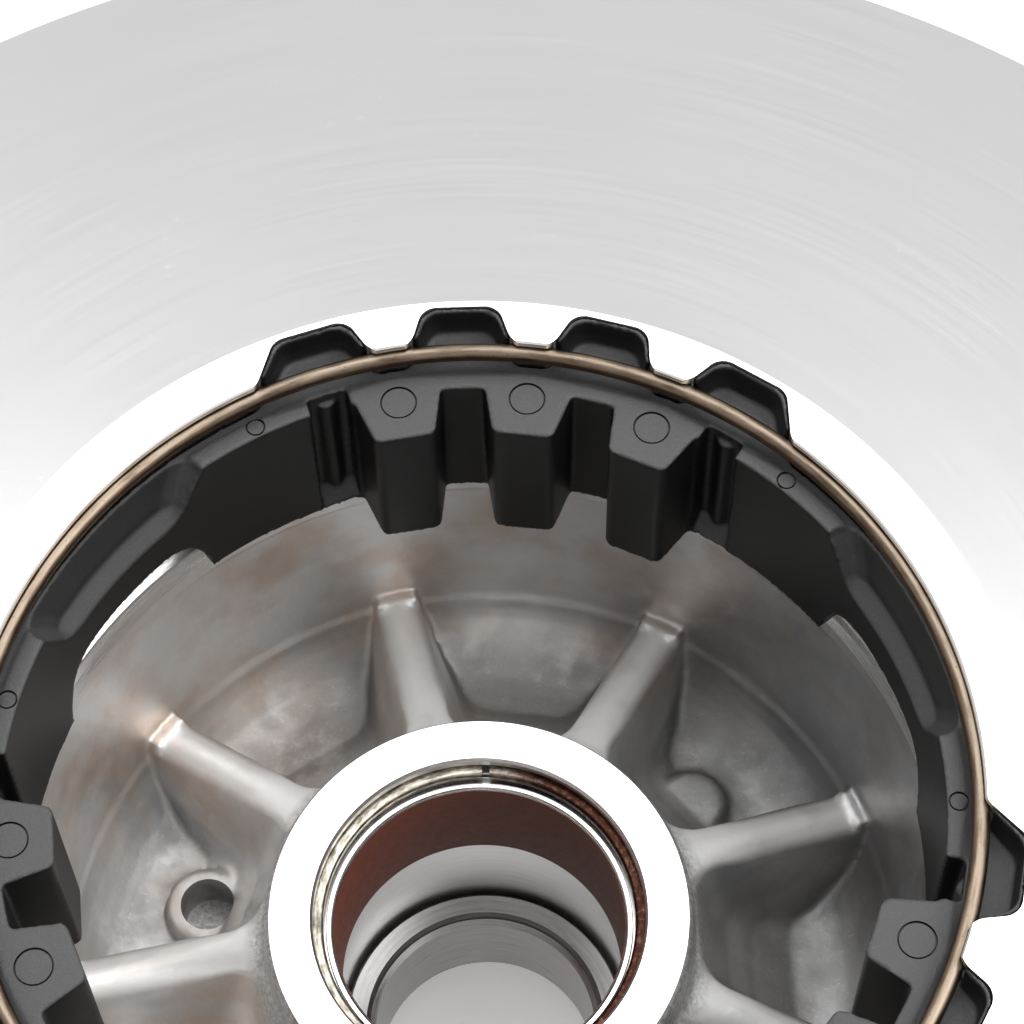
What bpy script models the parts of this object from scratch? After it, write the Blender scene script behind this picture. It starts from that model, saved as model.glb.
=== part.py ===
"""Sliding half of a belt drive's drive pulley, with its torque gear and its centrifugal governor.

Outlines are in millimetres. Heights are counted from the flat rim around the bowl's mouth, so what lies below
the rim is negative. The world is in metres: the governor cup's underside stands on Z = 0, and the pulley's axis
is the Z axis.
"""

import math

import bmesh
import bpy
from mathutils import Matrix, Vector

MM = 0.001
GAP = 0.3
STEPS = 48
GEAR_STEPS = 96
PIN_SIDES = 16

# The rim and the belt face
RIM_HEIGHT = 100.0
RIM_R = 60.0
SHEAVE_R = 125.3
BELT_ANGLE = math.radians(12.65)
FLANGE_EDGE = 5.0
MOUTH_R = 54.6
MOUTH_RELIEF_R = 55.2
SHOULDER_Z = -27.5
SHOULDER_R = 53.7
LIP_Z = -32.1

# The bowl, its ribs and its bosses
BOWL_TOP_R = 52.9
BOWL_LOW_R = 50.9
BOWL_FLOOR_Z = -66.0
BOWL_UNDERSIDE_Z = -72.5
RIBS = 9
RIB_START = 21.7
RIB_TOP_WIDTH = 4.8
RIB_FOOT_WIDTH = 8.0
BOSS_CIRCLE_R = 36.3
BOSS_START = 41.7

# The hub and what sits in its bore
HUB_TOP_Z = -39.2
HUB_R = 24.7
HUB_TUBE_R = 24.0
HUB_END_Z = -94.0
BUSH_SEAT_R = 19.8
BUSH_SEAT_END_Z = -61.0
BUSH_TOP_Z = -42.8
UPPER_BORE_R = 17.2
LOWER_SEAT_R = 18.3
LOWER_BUSH_TOP_Z = -78.0
LOWER_BORE_R = 14.1
RING_GROOVE_R = 20.9
RING_GROOVE_TOP_Z = -41.1

# The torque gear, three groups of lugs and teeth alike
GROUPS = 3
GROUP_CENTRE = 81.8
TOOTH_PITCH = 17.1
GEAR_TOP_Z = -4.4
GEAR_END_Z = -27.2
GEAR_R = 54.2
GEAR_INNER_R = 51.0
LUG_TIP_R = 45.2
NOTCH_R = 59.4
NOTCH_TIP_HALF = 4.1
NOTCH_MOUTH_HALF = 6.2
NOTCH_FLARE_HALF = 8.4
NOTCH_FLOOR_Z = -12.0
TOOTH_RIM = 1.3
WEDGE_END = 44.5
WIRE_R = 0.85
WIRE_CIRCLE_R = 54.3
WIRE_Z = -2.05
WIRE_GROOVE_R = 55.5

# The centrifugal levers
LEVERS = 3
LEVER_START = 30.0
PIVOT_R = 74.0
PIVOT_Z = -32.0
PIVOT_PIN_R = 3.0
LEVER_LENGTH = 34.0
LEVER_HALF_WIDTH = 5.2
EAR_THICKNESS = 5.0
ROLLER_R = 7.0
ROLLER_HALF_WIDTH = 3.0
ROLLER_EDGE = 0.5
ROLLER_PIN_R = 2.5

# The governor cup, which moves away by CUP_TRAVEL while the levers swing out by LEVER_SWING
CUP_TRAVEL = 20.0
LEVER_SWING = math.radians(50.0)
CUP_BASE_TOP_Z = -95.0
CUP_BORE_R = 20.8
CUP_DISC_R = 74.0
RAMP_HALF_WIDTH = 8.0
RAMP_CHANNEL_HALF = 6.0
RAMP_THICKNESS = 4.5
RAMP_WALL = 4.0
TOWER_START = 90.0
TOWER_TOP_Z = -38.0
TOWER_HALF_WIDTH = 7.0
TOWER_INNER_R = 64.5
TOWER_OUTER_R = 72.0
SHOE_THICKNESS = 2.0
GUIDE_THICKNESS = 4.0


def clear_scene():
    for thing in list(bpy.data.objects):
        bpy.data.objects.remove(thing, do_unlink=True)


def finish(name, colour, roughness, metallic):
    """A plain material for one piece."""
    material = bpy.data.materials.new(name)
    material.use_nodes = True
    shader = material.node_tree.nodes["Principled BSDF"]
    shader.inputs["Base Color"].default_value = (*colour, 1.0)
    shader.inputs["Roughness"].default_value = roughness
    shader.inputs["Metallic"].default_value = metallic
    return material


def polar(radius, degrees):
    """The plan point at a radius and an angle."""
    angle = math.radians(degrees)
    return radius * math.cos(angle), radius * math.sin(angle)


def arc(centre, radius, start, end, count):
    """Points on an arc about a centre, from one angle in degrees to another."""
    angles = [start + (end - start) * i / (count - 1) for i in range(count)]
    return [(centre[0] + polar(radius, a)[0], centre[1] + polar(radius, a)[1]) for a in angles]


def bodies_mesh(name, bodies):
    """One mesh of closed bodies, each a list of (points in mm, faces)."""
    bm = bmesh.new()
    for points, faces in bodies:
        verts = [bm.verts.new(Vector(p) * MM) for p in points]
        for face in faces:
            bm.faces.new([verts[i] for i in face])
    bmesh.ops.recalc_face_normals(bm, faces=bm.faces)
    mesh = bpy.data.meshes.new(name)
    bm.to_mesh(mesh)
    bm.free()
    return mesh


def loft(rings):
    """A closed body through rings of as many points each, capped at both ends."""
    count = len(rings[0])
    points = [p for ring in rings for p in ring]
    faces = [list(range(count)), list(range(len(points) - count, len(points)))]
    for level in range(len(rings) - 1):
        low = level * count
        for i in range(count):
            j = (i + 1) % count
            faces.append([low + i, low + j, low + count + j, low + count + i])
    return points, faces


def turned(profile, steps=STEPS):
    """A body turned about Z from a closed (radius, height) outline that stays off the axis."""
    count = len(profile)
    points = []
    for step in range(steps):
        angle = 2 * math.pi * step / steps
        points += [(r * math.cos(angle), r * math.sin(angle), z) for r, z in profile]
    faces = []
    for step in range(steps):
        here = step * count
        there = (step + 1) % steps * count
        for i in range(count):
            j = (i + 1) % count
            faces.append([here + i, here + j, there + j, there + i])
    return points, faces


def upright(outline, low, high):
    """A plan outline raised from one height to another."""
    return loft([[(x, y, z) for x, y in outline] for z in (low, high)])


def radial_plate(outline, near, far, degrees):
    """A (radius, height) outline given thickness from one tangential offset to another, at an angle in plan."""
    turn = Matrix.Rotation(math.radians(degrees), 3, "Z")
    rings = [[tuple(turn @ Vector((r, y, z))) for r, z in outline] for y in (near, far)]
    return loft(rings)


def circle(centre, radius, sides=PIN_SIDES):
    """Points all round a circle."""
    return arc(centre, radius, 0, 360 * (sides - 1) / sides, sides)


def cross_pin(radius, near, far, centre=(0.0, 0.0), degrees=0.0):
    """A round pin lying tangentially, about a (radius, height) centre."""
    outline = circle(centre, radius)
    return radial_plate(outline, near, far, degrees)


def piece(name, bodies, material, location=(0.0, 0.0, RIM_HEIGHT), degrees=0.0, parent=None):
    """A named piece whose mesh is counted from its own origin, given in mm."""
    thing = bpy.data.objects.new(name, bodies_mesh(name, bodies))
    bpy.context.collection.objects.link(thing)
    thing.data.materials.append(material)
    thing.location = Vector(location) * MM
    thing.rotation_euler = (0.0, 0.0, math.radians(degrees))
    thing.parent = parent
    thing.data.shade_smooth()
    thing.data.set_sharp_from_angle(angle=math.radians(35))
    return thing


def combine(thing, name, bodies, operation):
    """Adds bodies to a piece, or cuts them out of it, with a Boolean."""
    tool = bpy.data.objects.new(f"{thing.name}_{name}", bodies_mesh(name, bodies))
    bpy.context.collection.objects.link(tool)
    tool.parent = thing
    tool.display_type = "WIRE"
    tool.hide_render = True
    modifier = thing.modifiers.new(name, "BOOLEAN")
    modifier.operation = operation
    modifier.solver = "EXACT"
    modifier.object = tool


def group_angles():
    return [GROUP_CENTRE + 360 / GROUPS * k for k in range(GROUPS)]


def lever_angles():
    return [LEVER_START + 360 / LEVERS * k for k in range(LEVERS)]


def tower_angles():
    return [TOWER_START + 360 / LEVERS * k for k in range(LEVERS)]


def belt_face_z(radius):
    """Height of the belt face, which falls away outside the flat rim."""
    return -(radius - RIM_R) * math.tan(BELT_ANGLE)


def notch_outline(centre, place, inner_r, shrink):
    """Plan of one notch in the rim: place counts from -1.5 to 1.5 across the group, shrink is in mm."""
    middle = centre + place * TOOTH_PITCH
    tip_r = NOTCH_R - shrink
    ease = math.degrees(shrink / NOTCH_R)
    sides = []
    for sign in (-1, 1):
        outermost = sign * place > 1
        mouth_half = NOTCH_FLARE_HALF if outermost else NOTCH_MOUTH_HALF
        tip_half = NOTCH_TIP_HALF - ease
        corner = [(tip_r - 1.6, tip_half + 0.55), (tip_r - 0.6, tip_half), (tip_r, tip_half - 1.2)]
        side = [(inner_r, mouth_half - ease)] + corner
        sides.append([polar(r, middle + sign * half) for r, half in side])
    return sides[0] + sides[1][::-1]


def sliding_half_profile():
    edge_z = belt_face_z(SHEAVE_R)
    groove_low = WIRE_Z - WIRE_R - GAP
    groove_top = WIRE_Z + WIRE_R + GAP
    bore = [
        (BUSH_SEAT_R, BUSH_SEAT_END_Z), (BUSH_SEAT_R, RING_GROOVE_TOP_Z - 1.7),
        (RING_GROOVE_R, RING_GROOVE_TOP_Z - 1.7), (RING_GROOVE_R, RING_GROOVE_TOP_Z),
        (BUSH_SEAT_R, RING_GROOVE_TOP_Z), (BUSH_SEAT_R, HUB_TOP_Z),
    ]
    hub = [
        (HUB_R, HUB_TOP_Z), (HUB_R + 1.6, HUB_TOP_Z - 16), (HUB_R + 3.6, BOWL_FLOOR_Z + 3),
        (HUB_R + 7, BOWL_FLOOR_Z),
    ]
    bowl = [
        (BOWL_LOW_R - 6, BOWL_FLOOR_Z), (BOWL_LOW_R - 1.8, BOWL_FLOOR_Z + 3), (BOWL_LOW_R, BOWL_FLOOR_Z + 9),
        (BOWL_TOP_R, LIP_Z), (SHOULDER_R, LIP_Z + 0.4), (SHOULDER_R, SHOULDER_Z),
        (MOUTH_RELIEF_R, SHOULDER_Z), (MOUTH_R, groove_low), (WIRE_GROOVE_R, groove_low),
        (WIRE_GROOVE_R, groove_top), (MOUTH_R, groove_top), (MOUTH_R, 0.0),
    ]
    flange = [
        (RIM_R, 0.0), (SHEAVE_R, edge_z), (SHEAVE_R, edge_z - FLANGE_EDGE), (66.0, -14.0), (60.3, -19.5),
    ]
    back = [
        (57.4, -62.0), (54.5, -69.0), (48.0, BOWL_UNDERSIDE_Z), (HUB_TUBE_R + 5, BOWL_UNDERSIDE_Z - 0.5),
        (HUB_TUBE_R, BOWL_UNDERSIDE_Z - 4), (HUB_TUBE_R, HUB_END_Z), (LOWER_SEAT_R, HUB_END_Z),
        (LOWER_SEAT_R, BUSH_SEAT_END_Z),
    ]
    return bore + hub + bowl + flange + back


def bowl_rib(degrees):
    """A tapered rib from the hub to the bowl's wall, with a sloping flat top."""
    turn = Matrix.Rotation(math.radians(degrees), 3, "Z")
    foot = BOWL_FLOOR_Z - 2
    foot_half = RIB_FOOT_WIDTH / 2
    top_half = RIB_TOP_WIDTH / 2
    rings = []
    for radius, top in ((HUB_R - 1.7, HUB_TOP_Z - 6.0), (BOWL_LOW_R + 1.0, -54.4)):
        ring = [(-foot_half, foot), (foot_half, foot), (top_half, top), (-top_half, top)]
        rings.append([tuple(turn @ Vector((radius, y, z))) for y, z in ring])
    return loft(rings)


def floor_boss(index):
    x, y = polar(BOSS_CIRCLE_R, BOSS_START + 120 * index)
    top = BOWL_FLOOR_Z + 3.0
    rings = [[(px, py, z) for px, py in circle((x, y), r)] for r, z in ((5.6, BOWL_FLOOR_Z - 2), (5.0, top))]
    return loft(rings)


def boss_hole(index):
    centre = polar(BOSS_CIRCLE_R, BOSS_START + 120 * index)
    return upright(circle(centre, 3.1), BOWL_FLOOR_Z - 1.5, BOWL_FLOOR_Z + 6)


def lever_ears(degrees):
    """Two ears under the flange that carry a lever's pivot pin."""
    outline = [(56.5, -46.0), (56.5, -9.0), (88.0, -11.0), (PIVOT_R + 7.0, PIVOT_Z)]
    outline += arc((PIVOT_R, PIVOT_Z), 7.0, -20, -160, 8)
    inner = LEVER_HALF_WIDTH + 0.5
    outer = inner + EAR_THICKNESS
    return [radial_plate(outline, side[0], side[1], degrees) for side in ((inner, outer), (-outer, -inner))]


def guide_lugs(degrees):
    """Two upright lugs on the bowl's outside that a slide shoe runs between."""
    outline = [(56.0, -9.0), (TOWER_OUTER_R + 3, -11.0), (TOWER_OUTER_R + 1, -70.0), (54.0, -68.0)]
    inner = TOWER_HALF_WIDTH + SHOE_THICKNESS + 2 * GAP
    outer = inner + GUIDE_THICKNESS
    return [radial_plate(outline, side[0], side[1], degrees) for side in ((inner, outer), (-outer, -inner))]


def back_ribs():
    """Thin ribs under the flange, between the ears and the guides."""
    angles = [angle + offset for angle in lever_angles() for offset in (20, 40, 80, 100)]
    end = SHEAVE_R - 8
    outline = [(58.0, -9.0), (end, belt_face_z(end) - 2), (end, -21.0), (58.0, -27.0)]
    return [radial_plate(outline, -1.5, 1.5, angle) for angle in angles]


def make_sliding_half():
    aluminium = finish("cast_aluminium", (0.62, 0.61, 0.60), 0.4, 1.0)
    half = piece("sliding_half", [turned(sliding_half_profile())], aluminium)
    ribs = [bowl_rib(RIB_START + 360 / RIBS * k) for k in range(RIBS)]
    combine(half, "ribs", ribs, "UNION")
    combine(half, "bosses", [floor_boss(k) for k in range(3)], "UNION")
    combine(half, "boss_holes", [boss_hole(1)], "DIFFERENCE")
    combine(half, "ears", [ear for angle in lever_angles() for ear in lever_ears(angle)], "UNION")
    combine(half, "guides", [lug for angle in tower_angles() for lug in guide_lugs(angle)], "UNION")
    combine(half, "back_ribs", back_ribs(), "UNION")
    places = [-1.5, -0.5, 0.5, 1.5]
    notches = [
        upright(notch_outline(centre, place, SHOULDER_R - 0.4, 0.0), NOTCH_FLOOR_Z, 2.0)
        for centre in group_angles()
        for place in places
    ]
    combine(half, "notches", notches, "DIFFERENCE")
    reach = LEVER_HALF_WIDTH + EAR_THICKNESS + 2
    holes = [
        cross_pin(PIVOT_PIN_R + GAP, -reach, reach, (PIVOT_R, PIVOT_Z), angle) for angle in lever_angles()
    ]
    combine(half, "pin_holes", holes, "DIFFERENCE")
    return half


def sector(start, end, inner_r, outer_r, low, high, count=5):
    """A block bounded by two arcs."""
    outline = arc((0, 0), outer_r, start, end, count) + arc((0, 0), inner_r, end, start, count)
    return upright(outline, low, high)


def gear_lug(centre):
    """A lug that narrows towards the axis."""
    tip = [polar(LUG_TIP_R, centre + a) for a in (-4.2, 4.2)]
    root = [polar(GEAR_INNER_R + 1.2, centre + a) for a in (5.9, -5.9)]
    return upright(tip + root, GEAR_END_Z, GEAR_TOP_Z)


def arch(centre):
    """The window under the thin stretch between two groups, rounded at the top."""
    half_angle = 11.5
    levels = [(0.0, GEAR_END_Z - 2), (0.0, GEAR_END_Z + 3), (2.5, -20.0), (6.0, -18.6)]
    bodies = []
    for (ease, low), (next_ease, high) in zip(levels, levels[1:]):
        rings = []
        for trim, z in ((ease, low), (next_ease, high)):
            start = centre - half_angle + trim
            end = centre + half_angle - trim
            outline = arc((0, 0), GEAR_R + 3, start, end, 7)
            outline += arc((0, 0), GEAR_INNER_R - 3, end, start, 7)
            rings.append([(x, y, z) for x, y in outline])
        bodies.append(rings)
    merged = [bodies[0][0]] + [rings[1] for rings in bodies]
    return loft(merged)


def make_torque_gear():
    plastic = finish("black_plastic", (0.035, 0.035, 0.037), 0.5, 0.0)
    wall = [
        (GEAR_INNER_R, GEAR_END_Z), (GEAR_R, GEAR_END_Z), (GEAR_R, GEAR_TOP_Z), (GEAR_INNER_R, GEAR_TOP_Z),
    ]
    gear = piece("torque_gear", [turned(wall, GEAR_STEPS)], plastic)
    lugs = [gear_lug(c + place * TOOTH_PITCH) for c in group_angles() for place in (-1, 0, 1)]
    combine(gear, "lugs", lugs, "UNION")
    places = [-1.5, -0.5, 0.5, 1.5]
    teeth = [
        upright(notch_outline(c, place, GEAR_R - 1.5, GAP + 0.05), NOTCH_FLOOR_Z + GAP, -0.3)
        for c in group_angles()
        for place in places
    ]
    combine(gear, "teeth", teeth, "UNION")
    recesses = [
        upright(notch_outline(c, place, GEAR_R - 3.5, GAP + TOOTH_RIM), GEAR_TOP_Z - 0.6, 1.0)
        for c in group_angles()
        for place in places
    ]
    combine(gear, "recesses", recesses, "DIFFERENCE")
    foot = GEAR_TOP_Z + 0.1
    channel = [(WIRE_CIRCLE_R - 3.5, foot), (56.2, foot), (56.2, 1.0), (WIRE_CIRCLE_R - 3.5, 1.0)]
    combine(gear, "wire_channel", [turned(channel, GEAR_STEPS)], "DIFFERENCE")
    pockets = [
        sector(c + side * 25.9 - 2.3, c + side * 25.9 + 2.3, GEAR_INNER_R - 3, 53.1, -23.5, 0.0)
        for c in group_angles()
        for side in (-1, 1)
    ]
    combine(gear, "pockets", pockets, "DIFFERENCE")
    between = [c + 60 for c in group_angles()]
    half = 60 - WEDGE_END
    upper = [sector(c - half, c + half, GEAR_INNER_R - 3, GEAR_R + 1, -8.6, 0.0, 9) for c in between]
    combine(gear, "upper_ledges", upper, "DIFFERENCE")
    lower = [sector(c - half + 1, c + half - 1, GEAR_INNER_R - 3, 52.8, -12.9, -8.0, 9) for c in between]
    combine(gear, "lower_ledges", lower, "DIFFERENCE")
    combine(gear, "arches", [arch(c) for c in between], "DIFFERENCE")
    return gear


def open_ring(centre_r, centre_z, section, start, end, steps):
    """A split ring: a (radius, height) section swept about Z from one angle to another."""
    rings = []
    for step in range(steps + 1):
        angle = math.radians(start + (end - start) * step / steps)
        ring = [
            ((centre_r + dr) * math.cos(angle), (centre_r + dr) * math.sin(angle), centre_z + dz)
            for dr, dz in section
        ]
        rings.append(ring)
    return loft(rings)


def make_gear_circlip():
    bronze = finish("bronze_wire", (0.36, 0.27, 0.19), 0.35, 1.0)
    section = circle((0, 0), WIRE_R, 6)
    wire = open_ring(WIRE_CIRCLE_R, WIRE_Z, section, -86, 266, 64)
    return piece("gear_circlip", [wire], bronze)


def make_bush_snap_ring():
    gold = finish("plated_steel", (0.55, 0.45, 0.28), 0.35, 1.0)
    top = RING_GROOVE_TOP_Z - GAP
    low = RING_GROOVE_TOP_Z - 1.4
    outer = RING_GROOVE_R - GAP
    inner = 18.0
    section = [(inner, low), (outer, low), (outer, top), (inner, top)]
    ring = open_ring(0.0, 0.0, section, 90, 447, 48)
    return piece("bush_snap_ring", [ring], gold)


def make_upper_bush():
    lining = finish("bush_lining", (0.30, 0.09, 0.05), 0.5, 0.0)
    outer = BUSH_SEAT_R - GAP
    low = BUSH_SEAT_END_Z + GAP
    profile = [
        (UPPER_BORE_R, low + 0.5), (UPPER_BORE_R + 0.5, low), (outer, low), (outer, BUSH_TOP_Z),
        (UPPER_BORE_R + 0.6, BUSH_TOP_Z), (UPPER_BORE_R, BUSH_TOP_Z - 0.6),
    ]
    return piece("upper_bush", [turned(profile)], lining)


def make_lower_bush():
    steel = finish("bush_steel", (0.45, 0.44, 0.43), 0.3, 1.0)
    outer = LOWER_SEAT_R - GAP
    profile = [
        (LOWER_BORE_R, HUB_END_Z + 0.5), (LOWER_BORE_R + 0.5, HUB_END_Z), (outer, HUB_END_Z),
        (outer, LOWER_BUSH_TOP_Z), (LOWER_BORE_R + 0.8, LOWER_BUSH_TOP_Z), (LOWER_BORE_R, LOWER_BUSH_TOP_Z - 1.0),
    ]
    return piece("lower_bush", [turned(profile)], steel)


def lever_pivot(degrees):
    """An empty on a lever's hinge axis, with X pointing away from the pulley's axis."""
    pivot = bpy.data.objects.new(f"lever_pivot_{round(degrees)}", None)
    bpy.context.collection.objects.link(pivot)
    x, y = polar(PIVOT_R, degrees)
    pivot.location = Vector((x, y, RIM_HEIGHT + PIVOT_Z)) * MM
    pivot.rotation_euler = (0.0, 0.0, math.radians(degrees))
    return pivot


def lever_outline():
    """Side of a lever hanging from its pivot, with its weight on the outer side."""
    head = arc((0, 0), 6.4, 180, 0, 9)
    weight = [(9.5, -5.0), (12.6, -11.0), (12.8, -17.0), (9.5, -24.0)]
    tip = arc((0, -LEVER_LENGTH), 5.0, 20, -180, 9)
    return head + weight + tip


def make_lever(number, pivot, steel):
    body = radial_plate(lever_outline(), -LEVER_HALF_WIDTH, LEVER_HALF_WIDTH, 0)
    lever = piece(f"lever_{number}", [body], steel, (0, 0, 0), 0, pivot)
    reach = LEVER_HALF_WIDTH + 1
    combine(lever, "pivot_bore", [cross_pin(PIVOT_PIN_R + GAP, -reach, reach)], "DIFFERENCE")
    top = -LEVER_LENGTH + ROLLER_R + 1.0
    slot_half = ROLLER_HALF_WIDTH + GAP
    slot = [(-12, top), (16, top), (16, -LEVER_LENGTH - 10), (-12, -LEVER_LENGTH - 10)]
    combine(lever, "roller_slot", [radial_plate(slot, -slot_half, slot_half, 0)], "DIFFERENCE")
    bore = cross_pin(ROLLER_PIN_R + GAP, -reach, reach, (0, -LEVER_LENGTH))
    combine(lever, "roller_bore", [bore], "DIFFERENCE")
    return lever


def make_pivot_bolt(number, pivot, steel):
    """A shouldered bolt through the ears, with a round head on one side and its thread on the other."""
    face = LEVER_HALF_WIDTH + 0.5 + EAR_THICKNESS + GAP
    rings = []
    for radius, y in ((PIVOT_PIN_R, -face - 5.5), (PIVOT_PIN_R, face), (5.2, face), (5.2, face + 3.0)):
        rings.append([(x, y, z) for x, z in circle((0, 0), radius)])
    return piece(f"pivot_bolt_{number}", [loft(rings)], steel, (0, 0, 0), 0, pivot)


def make_lock_nut(number, pivot, steel):
    face = LEVER_HALF_WIDTH + 0.5 + EAR_THICKNESS + GAP
    hexagon = circle((0, 0), 5.2, 6)
    body = radial_plate(hexagon, -face - 4.5, -face, 0)
    nut = piece(f"lock_nut_{number}", [body], steel, (0, 0, 0), 0, pivot)
    combine(nut, "thread", [cross_pin(PIVOT_PIN_R + GAP, -face - 6, -face + 1)], "DIFFERENCE")
    return nut


def make_lever_roller(number, pivot, plastic):
    """A roller on its own empty at the lever's tip."""
    axis = bpy.data.objects.new(f"roller_axis_{number}", None)
    bpy.context.collection.objects.link(axis)
    axis.parent = pivot
    axis.location = Vector((0, 0, -LEVER_LENGTH)) * MM
    width = ROLLER_HALF_WIDTH
    edge_r = ROLLER_R - ROLLER_EDGE
    inset = width - ROLLER_EDGE
    stations = [(edge_r, -width), (ROLLER_R, -inset), (ROLLER_R, inset), (edge_r, width)]
    rings = [[(x, y, z) for x, z in circle((0, 0), radius)] for radius, y in stations]
    roller = piece(f"roller_{number}", [loft(rings)], plastic, (0, 0, 0), 0, axis)
    combine(roller, "bore", [cross_pin(ROLLER_PIN_R + GAP, -width - 1, width + 1)], "DIFFERENCE")
    return roller


def make_roller_pin(number, pivot, steel):
    pin = cross_pin(ROLLER_PIN_R, -LEVER_HALF_WIDTH + 0.1, LEVER_HALF_WIDTH - 0.1, (0, -LEVER_LENGTH))
    return piece(f"roller_pin_{number}", [pin], steel, (0, 0, 0), 0, pivot)


def make_levers():
    steel = finish("lever_steel", (0.30, 0.30, 0.31), 0.45, 1.0)
    zinc = finish("zinc_steel", (0.60, 0.58, 0.52), 0.3, 1.0)
    plastic = finish("roller_plastic", (0.45, 0.40, 0.30), 0.45, 0.0)
    for number, degrees in enumerate(lever_angles(), start=1):
        pivot = lever_pivot(degrees)
        make_lever(number, pivot, steel)
        make_pivot_bolt(number, pivot, zinc)
        make_lock_nut(number, pivot, zinc)
        make_lever_roller(number, pivot, plastic)
        make_roller_pin(number, pivot, zinc)


def roller_path(swing):
    """Roller centre in the cup's own frame when the lever has swung out and the cup has moved down with it."""
    radius = PIVOT_R + LEVER_LENGTH * math.sin(swing)
    height = PIVOT_Z - LEVER_LENGTH * math.cos(swing) + CUP_TRAVEL * swing / LEVER_SWING
    return radius, height


def ramp_curve(offset, count=9):
    """The ramp under the rollers, at a distance from the path of their centres."""
    points = []
    for i in range(count):
        swing = LEVER_SWING * i / (count - 1)
        radius, height = roller_path(swing)
        outward = LEVER_LENGTH * math.cos(swing)
        upward = LEVER_LENGTH * math.sin(swing) + CUP_TRAVEL / LEVER_SWING
        along = Vector((outward, upward)).normalized()
        points.append((radius + along.y * offset, height - along.x * offset))
    return points


def extended(curve, before, after):
    """A curve carried on in a straight line past both ends."""
    first = Vector(curve[0])
    last = Vector(curve[-1])
    start = first + (first - Vector(curve[1])).normalized() * before
    end = last + (last - Vector(curve[-2])).normalized() * after
    return [tuple(start)] + curve + [tuple(end)]


def ramp_arm(degrees):
    contact = ROLLER_R + GAP
    top = extended(ramp_curve(contact - RAMP_WALL), 9.0, 3.0)
    under = extended(ramp_curve(contact + RAMP_THICKNESS), 0.0, 3.0)[1:]
    foot = [(CUP_DISC_R - 2, -RIM_HEIGHT), (CUP_DISC_R - 14, -RIM_HEIGHT), (CUP_DISC_R - 14, CUP_BASE_TOP_Z + 3)]
    outline = foot + top + under[::-1]
    return radial_plate(outline, -RAMP_HALF_WIDTH, RAMP_HALF_WIDTH, degrees)


def ramp_channel(degrees):
    """The space above a ramp, between the arm's side walls."""
    surface = extended(ramp_curve(ROLLER_R + GAP), 16.0, 8.0)
    outline = surface + [(surface[-1][0] - 20, surface[-1][1] + 12), (surface[0][0] - 6, surface[0][1] + 30)]
    return radial_plate(outline, -RAMP_CHANNEL_HALF, RAMP_CHANNEL_HALF, degrees)


def tower(degrees):
    outline = [
        (TOWER_INNER_R, CUP_BASE_TOP_Z - 2), (TOWER_OUTER_R, CUP_BASE_TOP_Z - 2), (TOWER_OUTER_R, TOWER_TOP_Z),
        (TOWER_INNER_R, TOWER_TOP_Z),
    ]
    return radial_plate(outline, -TOWER_HALF_WIDTH, TOWER_HALF_WIDTH, degrees)


def make_governor_cup():
    aluminium = finish("cup_aluminium", (0.55, 0.55, 0.55), 0.45, 1.0)
    disc = [
        (CUP_BORE_R, -RIM_HEIGHT), (CUP_DISC_R - 1, -RIM_HEIGHT), (CUP_DISC_R, -RIM_HEIGHT + 1),
        (CUP_DISC_R, CUP_BASE_TOP_Z + 3), (CUP_DISC_R - 4, CUP_BASE_TOP_Z + 3), (CUP_DISC_R - 7, CUP_BASE_TOP_Z),
        (CUP_BORE_R, CUP_BASE_TOP_Z),
    ]
    cup = piece("governor_cup", [turned(disc)], aluminium)
    combine(cup, "ramp_arms", [ramp_arm(angle) for angle in lever_angles()], "UNION")
    combine(cup, "ramp_channels", [ramp_channel(angle) for angle in lever_angles()], "DIFFERENCE")
    combine(cup, "towers", [tower(angle) for angle in tower_angles()], "UNION")
    holes = [
        upright(circle(polar(46.0, 60 * k), 9.0), -RIM_HEIGHT - 2, CUP_BASE_TOP_Z + 6)
        for k in range(6)
    ]
    combine(cup, "lightening_holes", holes, "DIFFERENCE")
    return cup


def make_cup_bush():
    bronze = finish("cup_bush_bronze", (0.50, 0.36, 0.18), 0.4, 1.0)
    outer = CUP_BORE_R - GAP
    profile = [(18.2, -99.5), (outer, -99.5), (outer, CUP_BASE_TOP_Z), (18.2, CUP_BASE_TOP_Z)]
    return piece("cup_bush", [turned(profile)], bronze)


def make_slide_shoes():
    """A U-shaped shoe over the top of each tower."""
    plastic = finish("shoe_plastic", (0.70, 0.66, 0.55), 0.5, 0.0)
    outline = [
        (TOWER_INNER_R + 1, TOWER_TOP_Z - 22), (TOWER_OUTER_R - 0.5, TOWER_TOP_Z - 22),
        (TOWER_OUTER_R - 0.5, TOWER_TOP_Z + 2), (TOWER_INNER_R + 1, TOWER_TOP_Z + 2),
    ]
    slot = [
        (TOWER_INNER_R - 5, TOWER_TOP_Z - 30), (TOWER_OUTER_R + 5, TOWER_TOP_Z - 30),
        (TOWER_OUTER_R + 5, TOWER_TOP_Z + GAP), (TOWER_INNER_R - 5, TOWER_TOP_Z + GAP),
    ]
    inner = TOWER_HALF_WIDTH + GAP
    outer = inner + SHOE_THICKNESS
    for number, degrees in enumerate(tower_angles(), start=1):
        shoe = piece(f"slide_shoe_{number}", [radial_plate(outline, -outer, outer, 0)], plastic, degrees=degrees)
        combine(shoe, "slot", [radial_plate(slot, -inner, inner, 0)], "DIFFERENCE")


def build():
    clear_scene()
    make_sliding_half()
    make_torque_gear()
    make_gear_circlip()
    make_upper_bush()
    make_bush_snap_ring()
    make_lower_bush()
    make_levers()
    make_governor_cup()
    make_cup_bush()
    make_slide_shoes()


build()
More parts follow.
